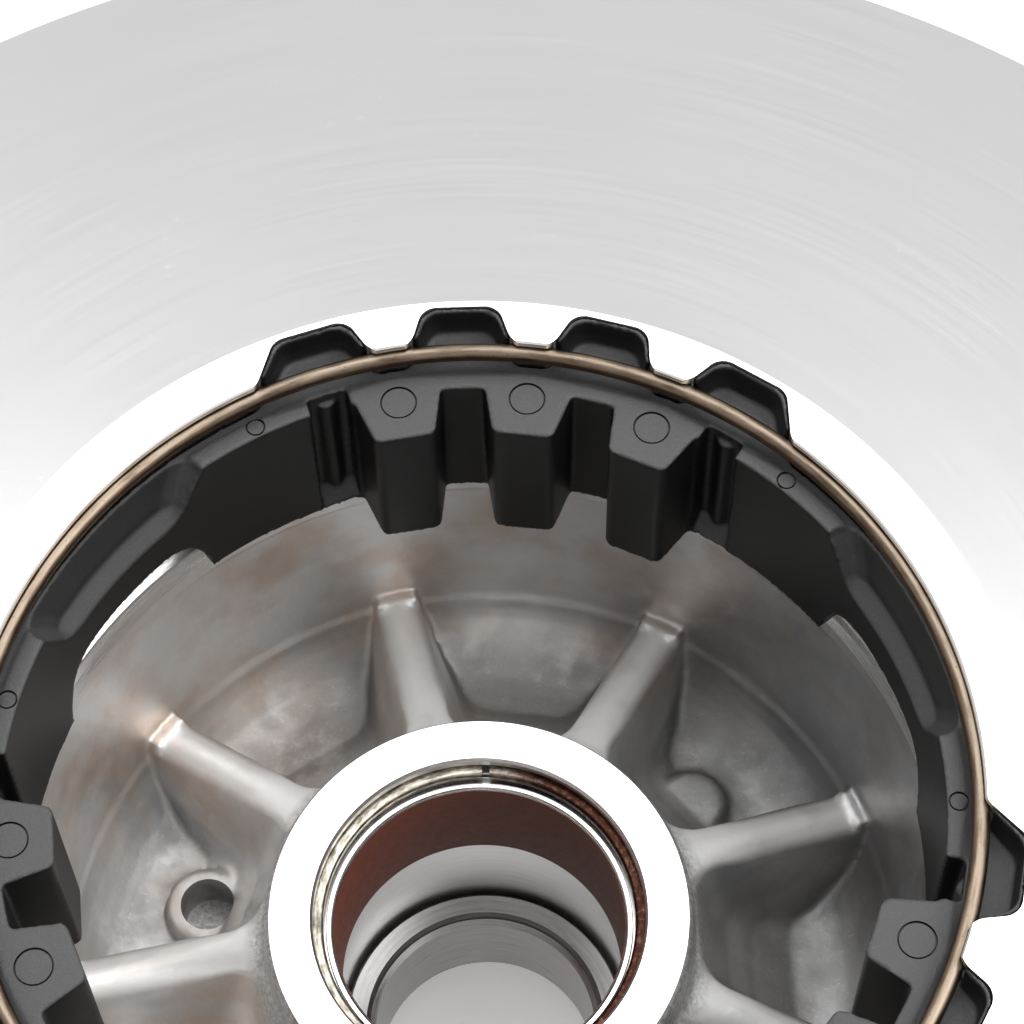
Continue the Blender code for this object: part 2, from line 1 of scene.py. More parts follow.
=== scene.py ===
"""Looks of the drive pulley's sliding half and its governor: fine surfaces, materials, light and camera.

Lengths are in millimetres at the frame's scale. Heights are counted from the flat rim, so what lies below the
rim is negative. Angles are in degrees, counted from +X towards +Y.
"""

import math

import bmesh
import bpy
import numpy as np
from mathutils import Matrix, Vector


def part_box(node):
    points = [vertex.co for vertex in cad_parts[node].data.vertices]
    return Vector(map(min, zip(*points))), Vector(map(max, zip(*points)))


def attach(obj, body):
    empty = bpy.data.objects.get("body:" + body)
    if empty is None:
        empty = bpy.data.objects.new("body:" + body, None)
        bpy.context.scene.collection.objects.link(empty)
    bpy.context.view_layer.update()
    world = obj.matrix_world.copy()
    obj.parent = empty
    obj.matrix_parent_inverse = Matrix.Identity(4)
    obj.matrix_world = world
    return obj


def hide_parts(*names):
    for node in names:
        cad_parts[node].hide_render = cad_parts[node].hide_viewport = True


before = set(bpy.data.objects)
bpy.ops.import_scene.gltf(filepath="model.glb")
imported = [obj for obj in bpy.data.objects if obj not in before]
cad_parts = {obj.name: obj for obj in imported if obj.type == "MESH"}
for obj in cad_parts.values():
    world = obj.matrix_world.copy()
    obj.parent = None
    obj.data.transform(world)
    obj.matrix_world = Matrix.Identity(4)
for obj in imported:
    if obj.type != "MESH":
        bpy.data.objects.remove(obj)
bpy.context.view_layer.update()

# The frame's scale and the rim's height above the floor
SHEAVE_R = 125.3
DISC_LOW, DISC_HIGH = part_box("sliding_half")
MM = DISC_HIGH.x / SHEAVE_R
RIM_HEIGHT = DISC_HIGH.z
FLOOR_Z = -RIM_HEIGHT / MM


def heights(node):
    """A node's lowest and highest points, in mm from the rim."""
    low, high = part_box(node)
    return (low.z - RIM_HEIGHT) / MM, (high.z - RIM_HEIGHT) / MM


# Rim, mouth and belt face
RIM_R = 60.0
BELT_SLOPE = math.tan(math.radians(12.65))
MOUTH_R = 54.6
SHOULDER_Z = -27.5
LIP_Z = -32.1
GROUPS = 3
GROUP_CENTRE = 81.8
TOOTH_PITCH = 17.1
NOTCH_R = 59.4
NOTCH_FLOOR_Z = -12.0

# Bowl and hub
BOWL_TOP_R = 53.5
BOWL_LOW_R = 50.9
BOWL_FLOOR_Z = -66.0
BOWL_UNDERSIDE_Z = -72.5
RIBS = 9
RIB_START = 21.7
RIB_CUT_HALF = 4.0
BOSS_CIRCLE_R = 36.3
BOSS_START = 41.7
HUB_TOP_Z = -39.2
HUB_R = 24.7
HUB_TUBE_R = 24.0
HUB_END_Z = DISC_LOW.z / MM + FLOOR_Z
BUSH_SEAT_R = 19.4
BORE_R = 18.4

# Torque gear and its circlip
GEAR_R = 54.4
GEAR_INNER_R = 51.0
GEAR_TOP_Z = -4.4
GEAR_END_Z = -27.2
LUG_TIP_R = 45.2
WEDGE_END = 44.5
WIRE_R = 1.0
WIRE_CIRCLE_R = 54.3
WIRE_Z = -2.05

# Levers and governor cup behind the disc
LEVERS = 3
LEVER_START = 30.0
TOWER_START = 90.0
PIVOT_R = 74.0
PIVOT_Z = -32.0
PIVOT_PIN_R = 3.0
LEVER_LENGTH = 34.0
PIVOT = (PIVOT_R, PIVOT_Z)
TIP = (PIVOT_R, PIVOT_Z - LEVER_LENGTH)
LEVER_HALF_WIDTH = 5.2
EAR_GAP = 0.5
EAR_THICKNESS = 5.0
EAR_FACE = LEVER_HALF_WIDTH + EAR_GAP + EAR_THICKNESS
ROLLER_R = 7.0
ROLLER_HALF_WIDTH = 3.0
ROLLER_PIN_R = 2.5
GAP = 0.3
CUP_TRAVEL = 20.0
LEVER_SWING = math.radians(50.0)
CUP_DISC_R = 74.0
CUP_BORE_R = 20.8
CUP_BASE_TOP_Z = FLOOR_Z + 5.0
RAMP_HALF_WIDTH = 8.0
RAMP_CHANNEL_HALF = 6.0
RAMP_THICKNESS = 4.5
RAMP_WALL = 4.0
TOWER_TOP_Z = -38.0
TOWER_HALF_WIDTH = 7.0
TOWER_INNER_R = 64.5
TOWER_OUTER_R = 72.0
SHOE_THICKNESS = 2.0
GUIDE_THICKNESS = 4.0

# Camera, in millimetres at its own scale
SENSOR_WIDTH = 36.0
LENS = 109.633

# Bushes and snap ring
UPPER_BUSH_END_Z, UPPER_BUSH_TOP_Z = heights("upper_bush")
LOWER_BUSH_END_Z, LOWER_BUSH_TOP_Z = heights("lower_bush")
UPPER_BORE_R = 17.2
LOWER_BORE_R = 14.1


def polar(radius, degrees):
    angle = math.radians(degrees)
    return radius * math.cos(angle), radius * math.sin(angle)


def arc(centre, radius, start, end, count):
    """Points on an arc about a centre, from one angle to another."""
    angles = [start + (end - start) * i / (count - 1) for i in range(count)]
    return [(centre[0] + polar(radius, a)[0], centre[1] + polar(radius, a)[1]) for a in angles]


def circle(centre, radius, sides=64):
    return arc(centre, radius, 0, 360 * (sides - 1) / sides, sides)


def rounded(corners, radius, count=5):
    """A plan outline with each corner rounded by an arc."""
    points = []
    for i, corner in enumerate(corners):
        here = Vector(corner)
        before = (Vector(corners[i - 1]) - here).normalized()
        after = (Vector(corners[(i + 1) % len(corners)]) - here).normalized()
        half = before.angle(after) / 2
        centre = here + (before + after).normalized() * (radius / math.sin(half))
        first = here + before * (radius / math.tan(half)) - centre
        last = here + after * (radius / math.tan(half)) - centre
        for step in range(count):
            ray = first.lerp(last, step / (count - 1)).normalized() * radius
            points.append(tuple(centre + ray))
    return points


def eased_corners(corners, radii):
    """A plan outline whose corners are each rounded by their own radius."""
    count = len(corners)
    points = []
    for i, radius in enumerate(radii):
        near = [corners[i - 1], corners[i], corners[(i + 1) % count]]
        points += rounded(near, radius, 7)[7:14]
    return points


def loft(rings):
    """A closed body through rings of as many points each, capped at both ends."""
    count = len(rings[0])
    points = [p for ring in rings for p in ring]
    faces = [list(range(count)), list(range(len(points) - count, len(points)))]
    for level in range(len(rings) - 1):
        low = level * count
        for i in range(count):
            j = (i + 1) % count
            faces.append([low + i, low + j, low + count + j, low + count + i])
    return points, faces


def turned(profile, steps=360):
    """A body turned about Z from a closed (radius, height) outline."""
    count = len(profile)
    points = []
    for step in range(steps):
        angle = 2 * math.pi * step / steps
        points += [(r * math.cos(angle), r * math.sin(angle), z) for r, z in profile]
    faces = []
    for step in range(steps):
        here = step * count
        there = (step + 1) % steps * count
        for i in range(count):
            j = (i + 1) % count
            faces.append([here + i, here + j, there + j, there + i])
    return points, faces


def upright(outline, low, high):
    """A plan outline raised from one height to another."""
    return loft([[(x, y, z) for x, y in outline] for z in (low, high)])


def radial_plate(outline, near, far, degrees):
    """A (radius, height) outline given thickness from one tangential offset to another."""
    turn = Matrix.Rotation(math.radians(degrees), 3, "Z")
    return loft([[tuple(turn @ Vector((r, y, z))) for r, z in outline] for y in (near, far)])


def cross_turned(stations, centre, degrees, sides=48):
    """A solid bar along the tangent, from (radius, offset) stations about a (radius, height) centre."""
    turn = Matrix.Rotation(math.radians(degrees), 3, "Z")
    rings = []
    for radius, offset in stations:
        rings.append([tuple(turn @ Vector((r, offset, z))) for r, z in circle(centre, radius, sides)])
    return loft(rings)


def piece(name, bodies, body, node=None):
    """A new piece of bodies given in mm, which rides on a CAD body and stands for a CAD node."""
    bm = bmesh.new()
    for points, faces in bodies:
        verts = [bm.verts.new((x * MM, y * MM, z * MM + RIM_HEIGHT)) for x, y, z in points]
        for face in faces:
            bm.faces.new([verts[i] for i in face])
    bmesh.ops.recalc_face_normals(bm, faces=bm.faces)
    mesh = bpy.data.meshes.new(name)
    bm.to_mesh(mesh)
    bm.free()
    thing = bpy.data.objects.new(name, mesh)
    bpy.context.collection.objects.link(thing)
    if body:
        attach(thing, body)
    if node:
        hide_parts(node)
    return thing


def bake(thing):
    """Applies a piece's modifiers."""
    graph = bpy.context.evaluated_depsgraph_get()
    mesh = bpy.data.meshes.new_from_object(thing.evaluated_get(graph))
    thing.modifiers.clear()
    thing.data = mesh


def combine(thing, bodies, operation, solver="EXACT"):
    """Adds bodies to a piece, or cuts them out of it."""
    tool = piece("tool", bodies, None)
    modifier = thing.modifiers.new("combine", "BOOLEAN")
    modifier.operation = operation
    modifier.solver = solver
    modifier.object = tool
    bake(thing)
    bpy.data.objects.remove(tool)


def soften(thing, voxel, rounds):
    """Melts a piece's bodies into one skin with small radii, on a grid that is askew to all their faces."""
    askew = Matrix.Rotation(0.45, 4, "X") @ Matrix.Rotation(0.6, 4, "Y") @ Matrix.Rotation(0.3, 4, "Z")
    thing.data.transform(askew)
    skin = thing.modifiers.new("skin", "REMESH")
    skin.mode = "VOXEL"
    skin.voxel_size = voxel * MM
    bake(thing)
    bm = bmesh.new()
    bm.from_mesh(thing.data)
    pinched = [v for v in bm.verts if len(v.link_edges) == 2]
    bmesh.ops.dissolve_verts(bm, verts=pinched)
    bm.to_mesh(thing.data)
    bm.free()
    ease = thing.modifiers.new("ease", "SMOOTH")
    ease.factor = 0.5
    ease.iterations = rounds
    bake(thing)
    thing.data.transform(askew.inverted())


def bevelled(thing, width, angle=30):
    """Rounds a piece's sharp edges."""
    edge = thing.modifiers.new("edge", "BEVEL")
    edge.width = width * MM
    edge.segments = 3
    edge.limit_method = "ANGLE"
    edge.angle_limit = math.radians(angle)
    bake(thing)
    smooth(thing, 50)


def smooth(thing, angle):
    """Shades a piece smooth except along edges sharper than an angle."""
    thing.data.shade_smooth()
    thing.data.set_sharp_from_angle(angle=math.radians(angle))


def coat(thing, material):
    """Gives a whole piece one material."""
    thing.data.materials.clear()
    thing.data.materials.append(material)
    thing.data.polygons.foreach_set("material_index", np.zeros(len(thing.data.polygons), np.int32))


def finish(thing, material, angle):
    smooth(thing, angle)
    coat(thing, material)


def paint(thing, materials, rule):
    """Gives each face the material whose number the rule works out from radius, height and normal."""
    thing.data.materials.clear()
    for material in materials:
        thing.data.materials.append(material)
    count = len(thing.data.polygons)
    centres = np.empty(count * 3)
    normals = np.empty(count * 3)
    thing.data.polygons.foreach_get("center", centres)
    thing.data.polygons.foreach_get("normal", normals)
    centres = centres.reshape(-1, 3)
    normals = normals.reshape(-1, 3)
    radius = np.hypot(centres[:, 0], centres[:, 1]) / MM
    height = (centres[:, 2] - RIM_HEIGHT) / MM
    numbers = rule(radius, height, normals[:, 2]).astype(np.int32)
    thing.data.polygons.foreach_set("material_index", numbers)


# ------------------------------------------------------------- materials


class Shade:
    """A Principled material and the few nodes that the finishes below are built from."""

    def __init__(self, name):
        self.material = bpy.data.materials.new(name)
        self.material.use_nodes = True
        self.nodes = self.material.node_tree.nodes
        self.links = self.material.node_tree.links
        self.shader = self.nodes["Principled BSDF"]
        self.place = self.nodes.new("ShaderNodeTexCoord").outputs["Object"]

    def set(self, **values):
        for name, value in values.items():
            self.shader.inputs[name.replace("_", " ")].default_value = value

    def node(self, kind, inputs=None, **settings):
        made = self.nodes.new(kind)
        for name, value in settings.items():
            setattr(made, name, value)
        for name, value in (inputs or {}).items():
            if isinstance(value, bpy.types.NodeSocket):
                self.links.new(value, made.inputs[name])
            else:
                made.inputs[name].default_value = value
        return made

    def calc(self, kind, a, b=0.0, c=0.0):
        """A math node's result."""
        return self.node("ShaderNodeMath", {0: a, 1: b, 2: c}, operation=kind).outputs[0]

    def noise(self, per_mm, detail=4.0, roughness=0.5, place=None):
        inputs = {"Vector": place or self.place, "Scale": per_mm / MM}
        inputs |= {"Detail": detail, "Roughness": roughness}
        return self.node("ShaderNodeTexNoise", inputs).outputs["Fac"]

    def ramp(self, value, low, high, to_low=0.0, to_high=1.0):
        """A value carried over from one range to another and held at its ends."""
        inputs = {"Value": value, "From Min": low, "From Max": high, "To Min": to_low, "To Max": to_high}
        return self.node("ShaderNodeMapRange", inputs).outputs["Result"]

    def mix(self, share, first, second):
        made = self.node("ShaderNodeMix", {"Factor": share}, data_type="RGBA")
        for name, value in (("A", first), ("B", second)):
            socket = [s for s in made.inputs if s.name == name and s.type == "RGBA"][0]
            if isinstance(value, bpy.types.NodeSocket):
                self.links.new(value, socket)
            else:
                socket.default_value = (*value, 1.0)
        return [s for s in made.outputs if s.type == "RGBA"][0]

    def bump(self, height, depth, before=None):
        """Bump of a height between 0 and 1 that is depth mm deep."""
        inputs = {"Height": height, "Distance": depth * MM, "Strength": 1.0}
        if before:
            inputs["Normal"] = before
        return self.node("ShaderNodeBump", inputs).outputs["Normal"]

    def use(self, **sockets):
        for name, socket in sockets.items():
            self.links.new(socket, self.shader.inputs[name.replace("_", " ")])
        return self.material

    def parts_of_place(self):
        """The place's X, Y and Z, and its distance from the axis."""
        apart = self.node("ShaderNodeSeparateXYZ", {"Vector": self.place}).outputs
        flat = self.node("ShaderNodeCombineXYZ", {"X": apart["X"], "Y": apart["Y"]}).outputs[0]
        return apart, self.node("ShaderNodeVectorMath", {0: flat}, operation="LENGTH").outputs["Value"]

    def along_turns(self, squeeze=0.02):
        """Coordinates stretched round the axis, so that noise on them runs in turned lines."""
        apart, radius = self.parts_of_place()
        angle = self.calc("ABSOLUTE", self.calc("ARCTAN2", apart["Y"], apart["X"]))
        round_way = self.calc("MULTIPLY", angle, 50 * MM * squeeze)
        return self.node("ShaderNodeCombineXYZ", {"X": radius, "Y": round_way, "Z": apart["Z"]}).outputs[0]


def satin_aluminium():
    """The belt face: fine turned lines under a satin finish, with faint scuffs."""
    s = Shade("satin_aluminium")
    turns = s.along_turns()
    lines = s.noise(3.0, 3.0, 0.6, turns)
    cloud = s.noise(0.02, 3.0)
    scuff = s.ramp(s.noise(0.35, 8.0, 0.8), 0.60, 0.72)
    patch = s.ramp(s.noise(0.04, 2.0), 0.50, 0.62)
    wear_and_highlight = s.calc("MULTIPLY", scuff, patch)
    s.set(Metallic=1.0)
    colour = s.mix(cloud, (0.70, 0.70, 0.705), (0.77, 0.77, 0.765))
    colour = s.mix(s.calc("MULTIPLY", wear_and_highlight, 0.7), colour, (0.93, 0.93, 0.93))
    rough = s.calc("ADD", s.ramp(lines, 0.3, 0.7, 0.34, 0.40), s.calc("MULTIPLY", wear_and_highlight, 0.1))
    normal = s.bump(lines, 0.0012)
    normal = s.bump(s.noise(0.3, 4.0), 0.004, normal)
    return s.use(Base_Color=colour, Roughness=rough, Normal=normal)


def bright_aluminium():
    """Rim, shoulder and hub face: freshly machined."""
    s = Shade("bright_aluminium")
    turns = s.along_turns()
    lines = s.noise(6.0, 2.0, 0.6, turns)
    s.set(Metallic=1.0)
    colour = s.mix(lines, (0.88, 0.88, 0.88), (0.96, 0.96, 0.96))
    rough = s.ramp(lines, 0.3, 0.7, 0.24, 0.34)
    return s.use(Base_Color=colour, Roughness=rough, Normal=s.bump(lines, 0.002))


def rib_top_mask(s, apart, radius):
    """Where the ribs' tops are: close to the cone that they end in, and clear of the wall."""
    inner_r, inner_z, fall = rib_slope()[:3]
    start = RIM_HEIGHT + (inner_z - fall * inner_r) * MM
    above = s.calc("SUBTRACT", apart["Z"], s.calc("MULTIPLY_ADD", radius, fall, start))
    rib_top = s.calc("MULTIPLY", s.ramp(above, -1.6 * MM, -0.7 * MM), s.ramp(above, 1.2 * MM, 0.6 * MM))
    return s.calc("MULTIPLY", rib_top, s.ramp(radius, 50.2 * MM, 49.0 * MM))


def cast_aluminium():
    """The bowl as cast: mottled, with warm stains and pale patches; painted light on the upper wall and the
    left, painted shade on the right and on the pockets' floors, and a painted highlight along the ribs' tops.
    """
    s = Shade("cast_aluminium")
    apart, radius = s.parts_of_place()
    rib_top = rib_top_mask(s, apart, radius)
    flank = s.ramp(radius, (HUB_R + 3.6) * MM, (HUB_R + 1.8) * MM)
    floor_height = RIM_HEIGHT + BOWL_FLOOR_Z * MM
    floor = s.ramp(apart["Z"], floor_height + 5.0 * MM, floor_height + 0.8 * MM)
    wall = s.ramp(apart["Z"], RIM_HEIGHT - 56 * MM, RIM_HEIGHT - 48 * MM)
    side = s.ramp(apart["X"], 2 * MM, 42 * MM)
    broad = s.noise(0.045, 4.0, 0.6)
    blotch = s.ramp(s.noise(0.09, 5.0, 0.62), 0.50, 0.62)
    warm = s.ramp(s.noise(0.06, 4.0, 0.6), 0.46, 0.62)
    speck = s.ramp(s.noise(2.2, 3.0, 0.7), 0.60, 0.72)
    colour = s.mix(s.ramp(broad, 0.35, 0.65), (0.58, 0.575, 0.57), (0.80, 0.795, 0.79))
    # painted light: the wall is lighter towards the lip, above about 48 mm down
    colour = s.mix(s.calc("MULTIPLY", wall, 0.45), colour, (0.95, 0.945, 0.94))
    colour = s.mix(s.calc("MULTIPLY", warm, 0.75), colour, (0.70, 0.58, 0.49))
    # painted shade: darker towards +X, the side that its own wall shades
    colour = s.mix(s.calc("MULTIPLY", side, 0.68), colour, (0.27, 0.27, 0.275))
    # painted shade: darker low in the bowl, on the pockets' floors
    colour = s.mix(s.calc("MULTIPLY", floor, 0.68), colour, (0.20, 0.198, 0.195))
    # pale patches in the casting, made stronger on the left as painted light
    pale = s.calc("MULTIPLY", blotch, s.ramp(side, 0.0, 1.0, 0.45, 0.12))
    colour = s.mix(pale, colour, (0.78, 0.775, 0.77))
    colour = s.mix(s.calc("MULTIPLY", speck, 0.22), colour, (0.88, 0.87, 0.86))
    # painted highlight: lighter and less metallic along the ribs' tops
    painted_rib_highlight = s.calc("MULTIPLY", rib_top, s.ramp(s.noise(0.3, 4.0), 0.25, 0.5, 0.75, 1.0))
    colour = s.mix(painted_rib_highlight, colour, (0.98, 0.975, 0.965))
    grain = s.noise(1.6, 6.0, 0.7)
    sandy = s.mix(s.ramp(grain, 0.35, 0.65), (0.40, 0.40, 0.395), (0.80, 0.795, 0.79))
    colour = s.mix(flank, colour, sandy)
    rough = s.calc("MULTIPLY_ADD", floor, 0.10, s.ramp(s.noise(0.25, 4.0), 0.3, 0.7, 0.34, 0.52))
    metallic = s.ramp(painted_rib_highlight, 0.0, 1.0, 0.85, 0.58)
    normal = s.bump(s.noise(0.8, 5.0, 0.6), 0.06)
    normal = s.bump(s.noise(4.0, 2.0), 0.008, normal)
    normal = s.bump(s.calc("MULTIPLY", grain, flank), 0.14, normal)
    return s.use(Base_Color=colour, Roughness=rough, Metallic=metallic, Normal=normal)


def rough_casting():
    """The casting's back: a coarse sand-cast grain. It also darkens the hub's ring groove as painted shade.
    """
    s = Shade("rough_casting")
    s.set(Metallic=0.9)
    grain = s.noise(1.6, 6.0, 0.7)
    colour = s.mix(s.ramp(grain, 0.35, 0.65), (0.30, 0.30, 0.295), (0.58, 0.575, 0.57))
    rough = s.ramp(grain, 0.3, 0.7, 0.5, 0.36)
    normal = s.bump(grain, 0.14)
    return s.use(Base_Color=colour, Roughness=rough, Normal=normal)


def black_plastic():
    """Glass-filled plastic: painted light makes faces that look up lighter, with painted glints on their
    grain; walls smooth and near-black.
    """
    s = Shade("black_plastic")
    normal = s.node("ShaderNodeNewGeometry").outputs["Normal"]
    up = s.node("ShaderNodeSeparateXYZ", {"Vector": normal}).outputs["Z"]
    # painted light: top marks faces that look up, which get a lighter colour than the walls
    top = s.ramp(up, 0.08, 0.6)
    grain = s.noise(3.5, 4.0, 0.7)
    speck = s.ramp(s.noise(8.0, 2.0, 0.6), 0.60, 0.72)
    colour = s.mix(top, (0.006, 0.006, 0.006), (0.066, 0.066, 0.067))
    # painted glints: light specks only on faces that look up
    colour = s.mix(s.calc("MULTIPLY", s.calc("MULTIPLY", speck, top), 0.4), colour, (0.24, 0.24, 0.24))
    rough = s.ramp(top, 0.0, 1.0, 0.42, 0.50)
    depth = s.calc("MULTIPLY", grain, s.ramp(top, 0.0, 1.0, 0.15, 1.0))
    normal = s.bump(depth, 0.10)
    gloss = s.ramp(top, 0.0, 1.0, 0.22, 0.5)
    return s.use(Base_Color=colour, Roughness=rough, Normal=normal, Specular_IOR_Level=gloss)


def bronze_wire():
    """The circlip: brown, with a painted highlight along its top; its darker sides are painted shade."""
    s = Shade("bronze_wire")
    s.set(Metallic=0.95)
    height = s.node("ShaderNodeSeparateXYZ", {"Vector": s.place}).outputs["Z"]
    centre = RIM_HEIGHT + WIRE_Z * MM
    streak = s.noise(1.5, 4.0, 0.6, s.along_turns(0.15))
    speck = s.ramp(s.noise(2.5, 3.0, 0.7), 0.62, 0.75)
    # painted highlight: lighter along the wire's top, streaked
    wear_and_highlight = s.ramp(height, centre + 0.35 * WIRE_R * MM, centre + 0.95 * WIRE_R * MM)
    wear_and_highlight = s.calc("MULTIPLY", wear_and_highlight, s.ramp(streak, 0.35, 0.6, 0.35, 1.0))
    colour = s.mix(s.ramp(streak, 0.3, 0.7), (0.055, 0.032, 0.018), (0.14, 0.085, 0.05))
    colour = s.mix(wear_and_highlight, colour, (0.29, 0.235, 0.18))
    colour = s.mix(speck, colour, (0.06, 0.035, 0.025))
    rough = s.ramp(streak, 0.3, 0.7, 0.28, 0.42)
    return s.use(Base_Color=colour, Roughness=rough, Normal=s.bump(streak, 0.01))


def bush_lining():
    """Red-brown low-friction lining, redder on the left and greyer on the right."""
    s = Shade("bush_lining")
    apart = s.node("ShaderNodeSeparateXYZ", {"Vector": s.place}).outputs
    side = s.ramp(apart["X"], -UPPER_BORE_R * MM, UPPER_BORE_R * MM)
    grain = s.noise(1.0, 4.0, 0.6)
    colour = s.mix(side, (0.19, 0.056, 0.034), (0.14, 0.072, 0.056))
    colour = s.mix(s.ramp(grain, 0.4, 0.8, 0.0, 0.3), colour, (0.10, 0.05, 0.04))
    rough = s.ramp(grain, 0.3, 0.7, 0.46, 0.6)
    s.set(Specular_IOR_Level=0.25)
    return s.use(Base_Color=colour, Roughness=rough, Normal=s.bump(grain, 0.01))


def plated_steel():
    """The snap ring: tan plating on the left that has rusted to a shiny red-brown on the right."""
    s = Shade("plated_steel")
    apart = s.node("ShaderNodeSeparateXYZ", {"Vector": s.place}).outputs
    blotch = s.calc("MULTIPLY", s.noise(0.7, 5.0, 0.7), 14 * MM)
    side = s.ramp(s.calc("ADD", apart["X"], blotch), 6 * MM, 14 * MM)
    streak = s.noise(2.0, 3.0, 0.6, s.along_turns(0.1))
    fresh = s.mix(s.ramp(streak, 0.35, 0.6), (0.14, 0.125, 0.10), (0.52, 0.48, 0.41))
    rusty = s.mix(s.ramp(s.noise(1.4, 5.0, 0.7), 0.5, 0.75), (0.035, 0.014, 0.010), (0.15, 0.08, 0.055))
    s.set(Metallic=1.0)
    rough = s.ramp(s.noise(1.5, 4.0), 0.3, 0.7, 0.26, 0.42)
    normal = s.bump(s.noise(1.2, 4.0, 0.6), 0.05)
    return s.use(Base_Color=s.mix(side, fresh, rusty), Roughness=rough, Normal=normal)


def turned_metal(name, dark, light, low_rough, high_rough):
    """A machined metal with lines running round the axis."""
    s = Shade(name)
    lines = s.noise(2.0, 4.0, 0.65, s.along_turns())
    s.set(Metallic=1.0)
    colour = s.mix(s.ramp(lines, 0.3, 0.7), dark, light)
    rough = s.ramp(lines, 0.3, 0.7, low_rough, high_rough)
    return s.use(Base_Color=colour, Roughness=rough, Normal=s.bump(lines, 0.004))


def small_part(name, dark, light, metallic, rough, grain_depth=0.03, wear_and_highlight=0.5):
    """A small part's finish: mottled colour, fine grain, and edges worn lighter by a share."""
    s = Shade(name)
    mottle = s.ramp(s.noise(0.5, 5.0, 0.6), 0.35, 0.65)
    s.set(Metallic=metallic)
    colour = s.mix(mottle, dark, light)
    if wear_and_highlight:
        edge = s.ramp(s.node("ShaderNodeNewGeometry").outputs["Pointiness"], 0.52, 0.60)
        colour = s.mix(s.calc("MULTIPLY", edge, wear_and_highlight), colour, tuple(min(1.0, c * 1.5) for c in light))
    roughness = s.ramp(s.noise(1.5, 4.0), 0.3, 0.7, rough - 0.06, rough + 0.08)
    return s.use(Base_Color=colour, Roughness=roughness, Normal=s.bump(s.noise(2.5, 4.0, 0.6), grain_depth))


def pale_floor():
    s = Shade("pale_floor")
    s.set(Roughness=0.8, Emission_Color=(1.0, 1.0, 1.0, 1.0))
    tone = s.noise(0.01, 3.0)
    colour = s.mix(tone, (0.86, 0.86, 0.865), (0.90, 0.90, 0.90))
    distance = s.node("ShaderNodeVectorMath", {0: s.place}, operation="LENGTH").outputs["Value"]
    # painted shadow: the floor glows less close to the axis, under the object
    glow_with_painted_shadow = s.ramp(distance, 30 * MM, 90 * MM, 0.30, 0.42)
    return s.use(Base_Color=colour, Emission_Strength=glow_with_painted_shadow, Normal=s.bump(s.noise(0.5, 3.0), 0.02))


# ----------------------------------------------------------- the casting


def group_angles():
    return [GROUP_CENTRE + 360 / GROUPS * k for k in range(GROUPS)]


def notch_outline(centre, place, inner_r, shrink):
    """Plan of one notch in the rim, flared where it opens: place counts from -1.5 to 1.5 across the group."""
    middle = centre + place * TOOTH_PITCH
    tip_r = NOTCH_R - shrink
    ease = math.degrees(shrink / NOTCH_R)
    corners = []
    for sign in (-1, 1):
        mouth = 7.9 if sign * place > 1 else 5.9
        stations = [(inner_r, mouth + 2.2), (MOUTH_R - 0.6, mouth + 2.0), (MOUTH_R + 0.5, mouth - ease)]
        stations.append((tip_r, 4.2 - ease))
        corners.append([polar(radius, middle + sign * offset) for radius, offset in stations])
    return eased_corners(corners[0] + corners[1][::-1], [0.2, 0.4, 3.0, 2.2, 2.2, 3.0, 0.4, 0.2])


def notch_places():
    return [(centre, place) for centre in group_angles() for place in (-1.5, -0.5, 0.5, 1.5)]


def flange_profile():
    edge_z = -(SHEAVE_R - RIM_R) * BELT_SLOPE
    mouth = [
        (53.3, -38.0), (53.45, LIP_Z - 0.4), (53.55, LIP_Z), (53.75, LIP_Z + 0.9), (54.2, SHOULDER_Z - 2.0),
        (54.25, SHOULDER_Z - 0.3), (54.4, SHOULDER_Z), (55.2, SHOULDER_Z), (MOUTH_R, -3.4), (55.1, -3.1),
        (55.4, -2.05), (55.1, -1.0), (MOUTH_R, -0.8), (MOUTH_R, -0.2), (MOUTH_R + 0.2, 0.0),
    ]
    face = [(r, -(r - RIM_R) * BELT_SLOPE) for r in (RIM_R, 61.0, 80.0, 100.0, 120.0, SHEAVE_R - 0.5)]
    back = [
        (SHEAVE_R, edge_z - 0.5), (SHEAVE_R, edge_z - 4.2), (SHEAVE_R - 0.8, edge_z - 5.0), (95.0, -17.0),
        (67.0, -14.2), (62.5, -16.0), (60.0, -20.0), (59.4, -38.0),
    ]
    return mouth + face + back


def make_flange(satin, bright, rough, cast):
    """The belt face, rim, notches, mouth and shoulder, all machined, with the cast underside and lip."""
    flange = piece("flange", [turned(flange_profile())], "sliding_half", "sliding_half")
    cutters = [upright(notch_outline(c, p, 53.0, 0.0), NOTCH_FLOOR_Z, 2.0) for c, p in notch_places()]
    combine(flange, cutters, "DIFFERENCE")
    smooth(flange, 8)

    def rule(radius, height, up):
        belt = (radius > RIM_R) & (up > 0.5)
        under = (radius > 56.5) & (up < 0.3) & (radius < SHEAVE_R - 0.9)
        lip = (radius < 54.0) & (height < LIP_Z + 0.8)
        return np.where(belt, 0, np.where(under, 2, np.where(lip, 3, 1)))

    paint(flange, [satin, bright, rough, cast], rule)
    return flange


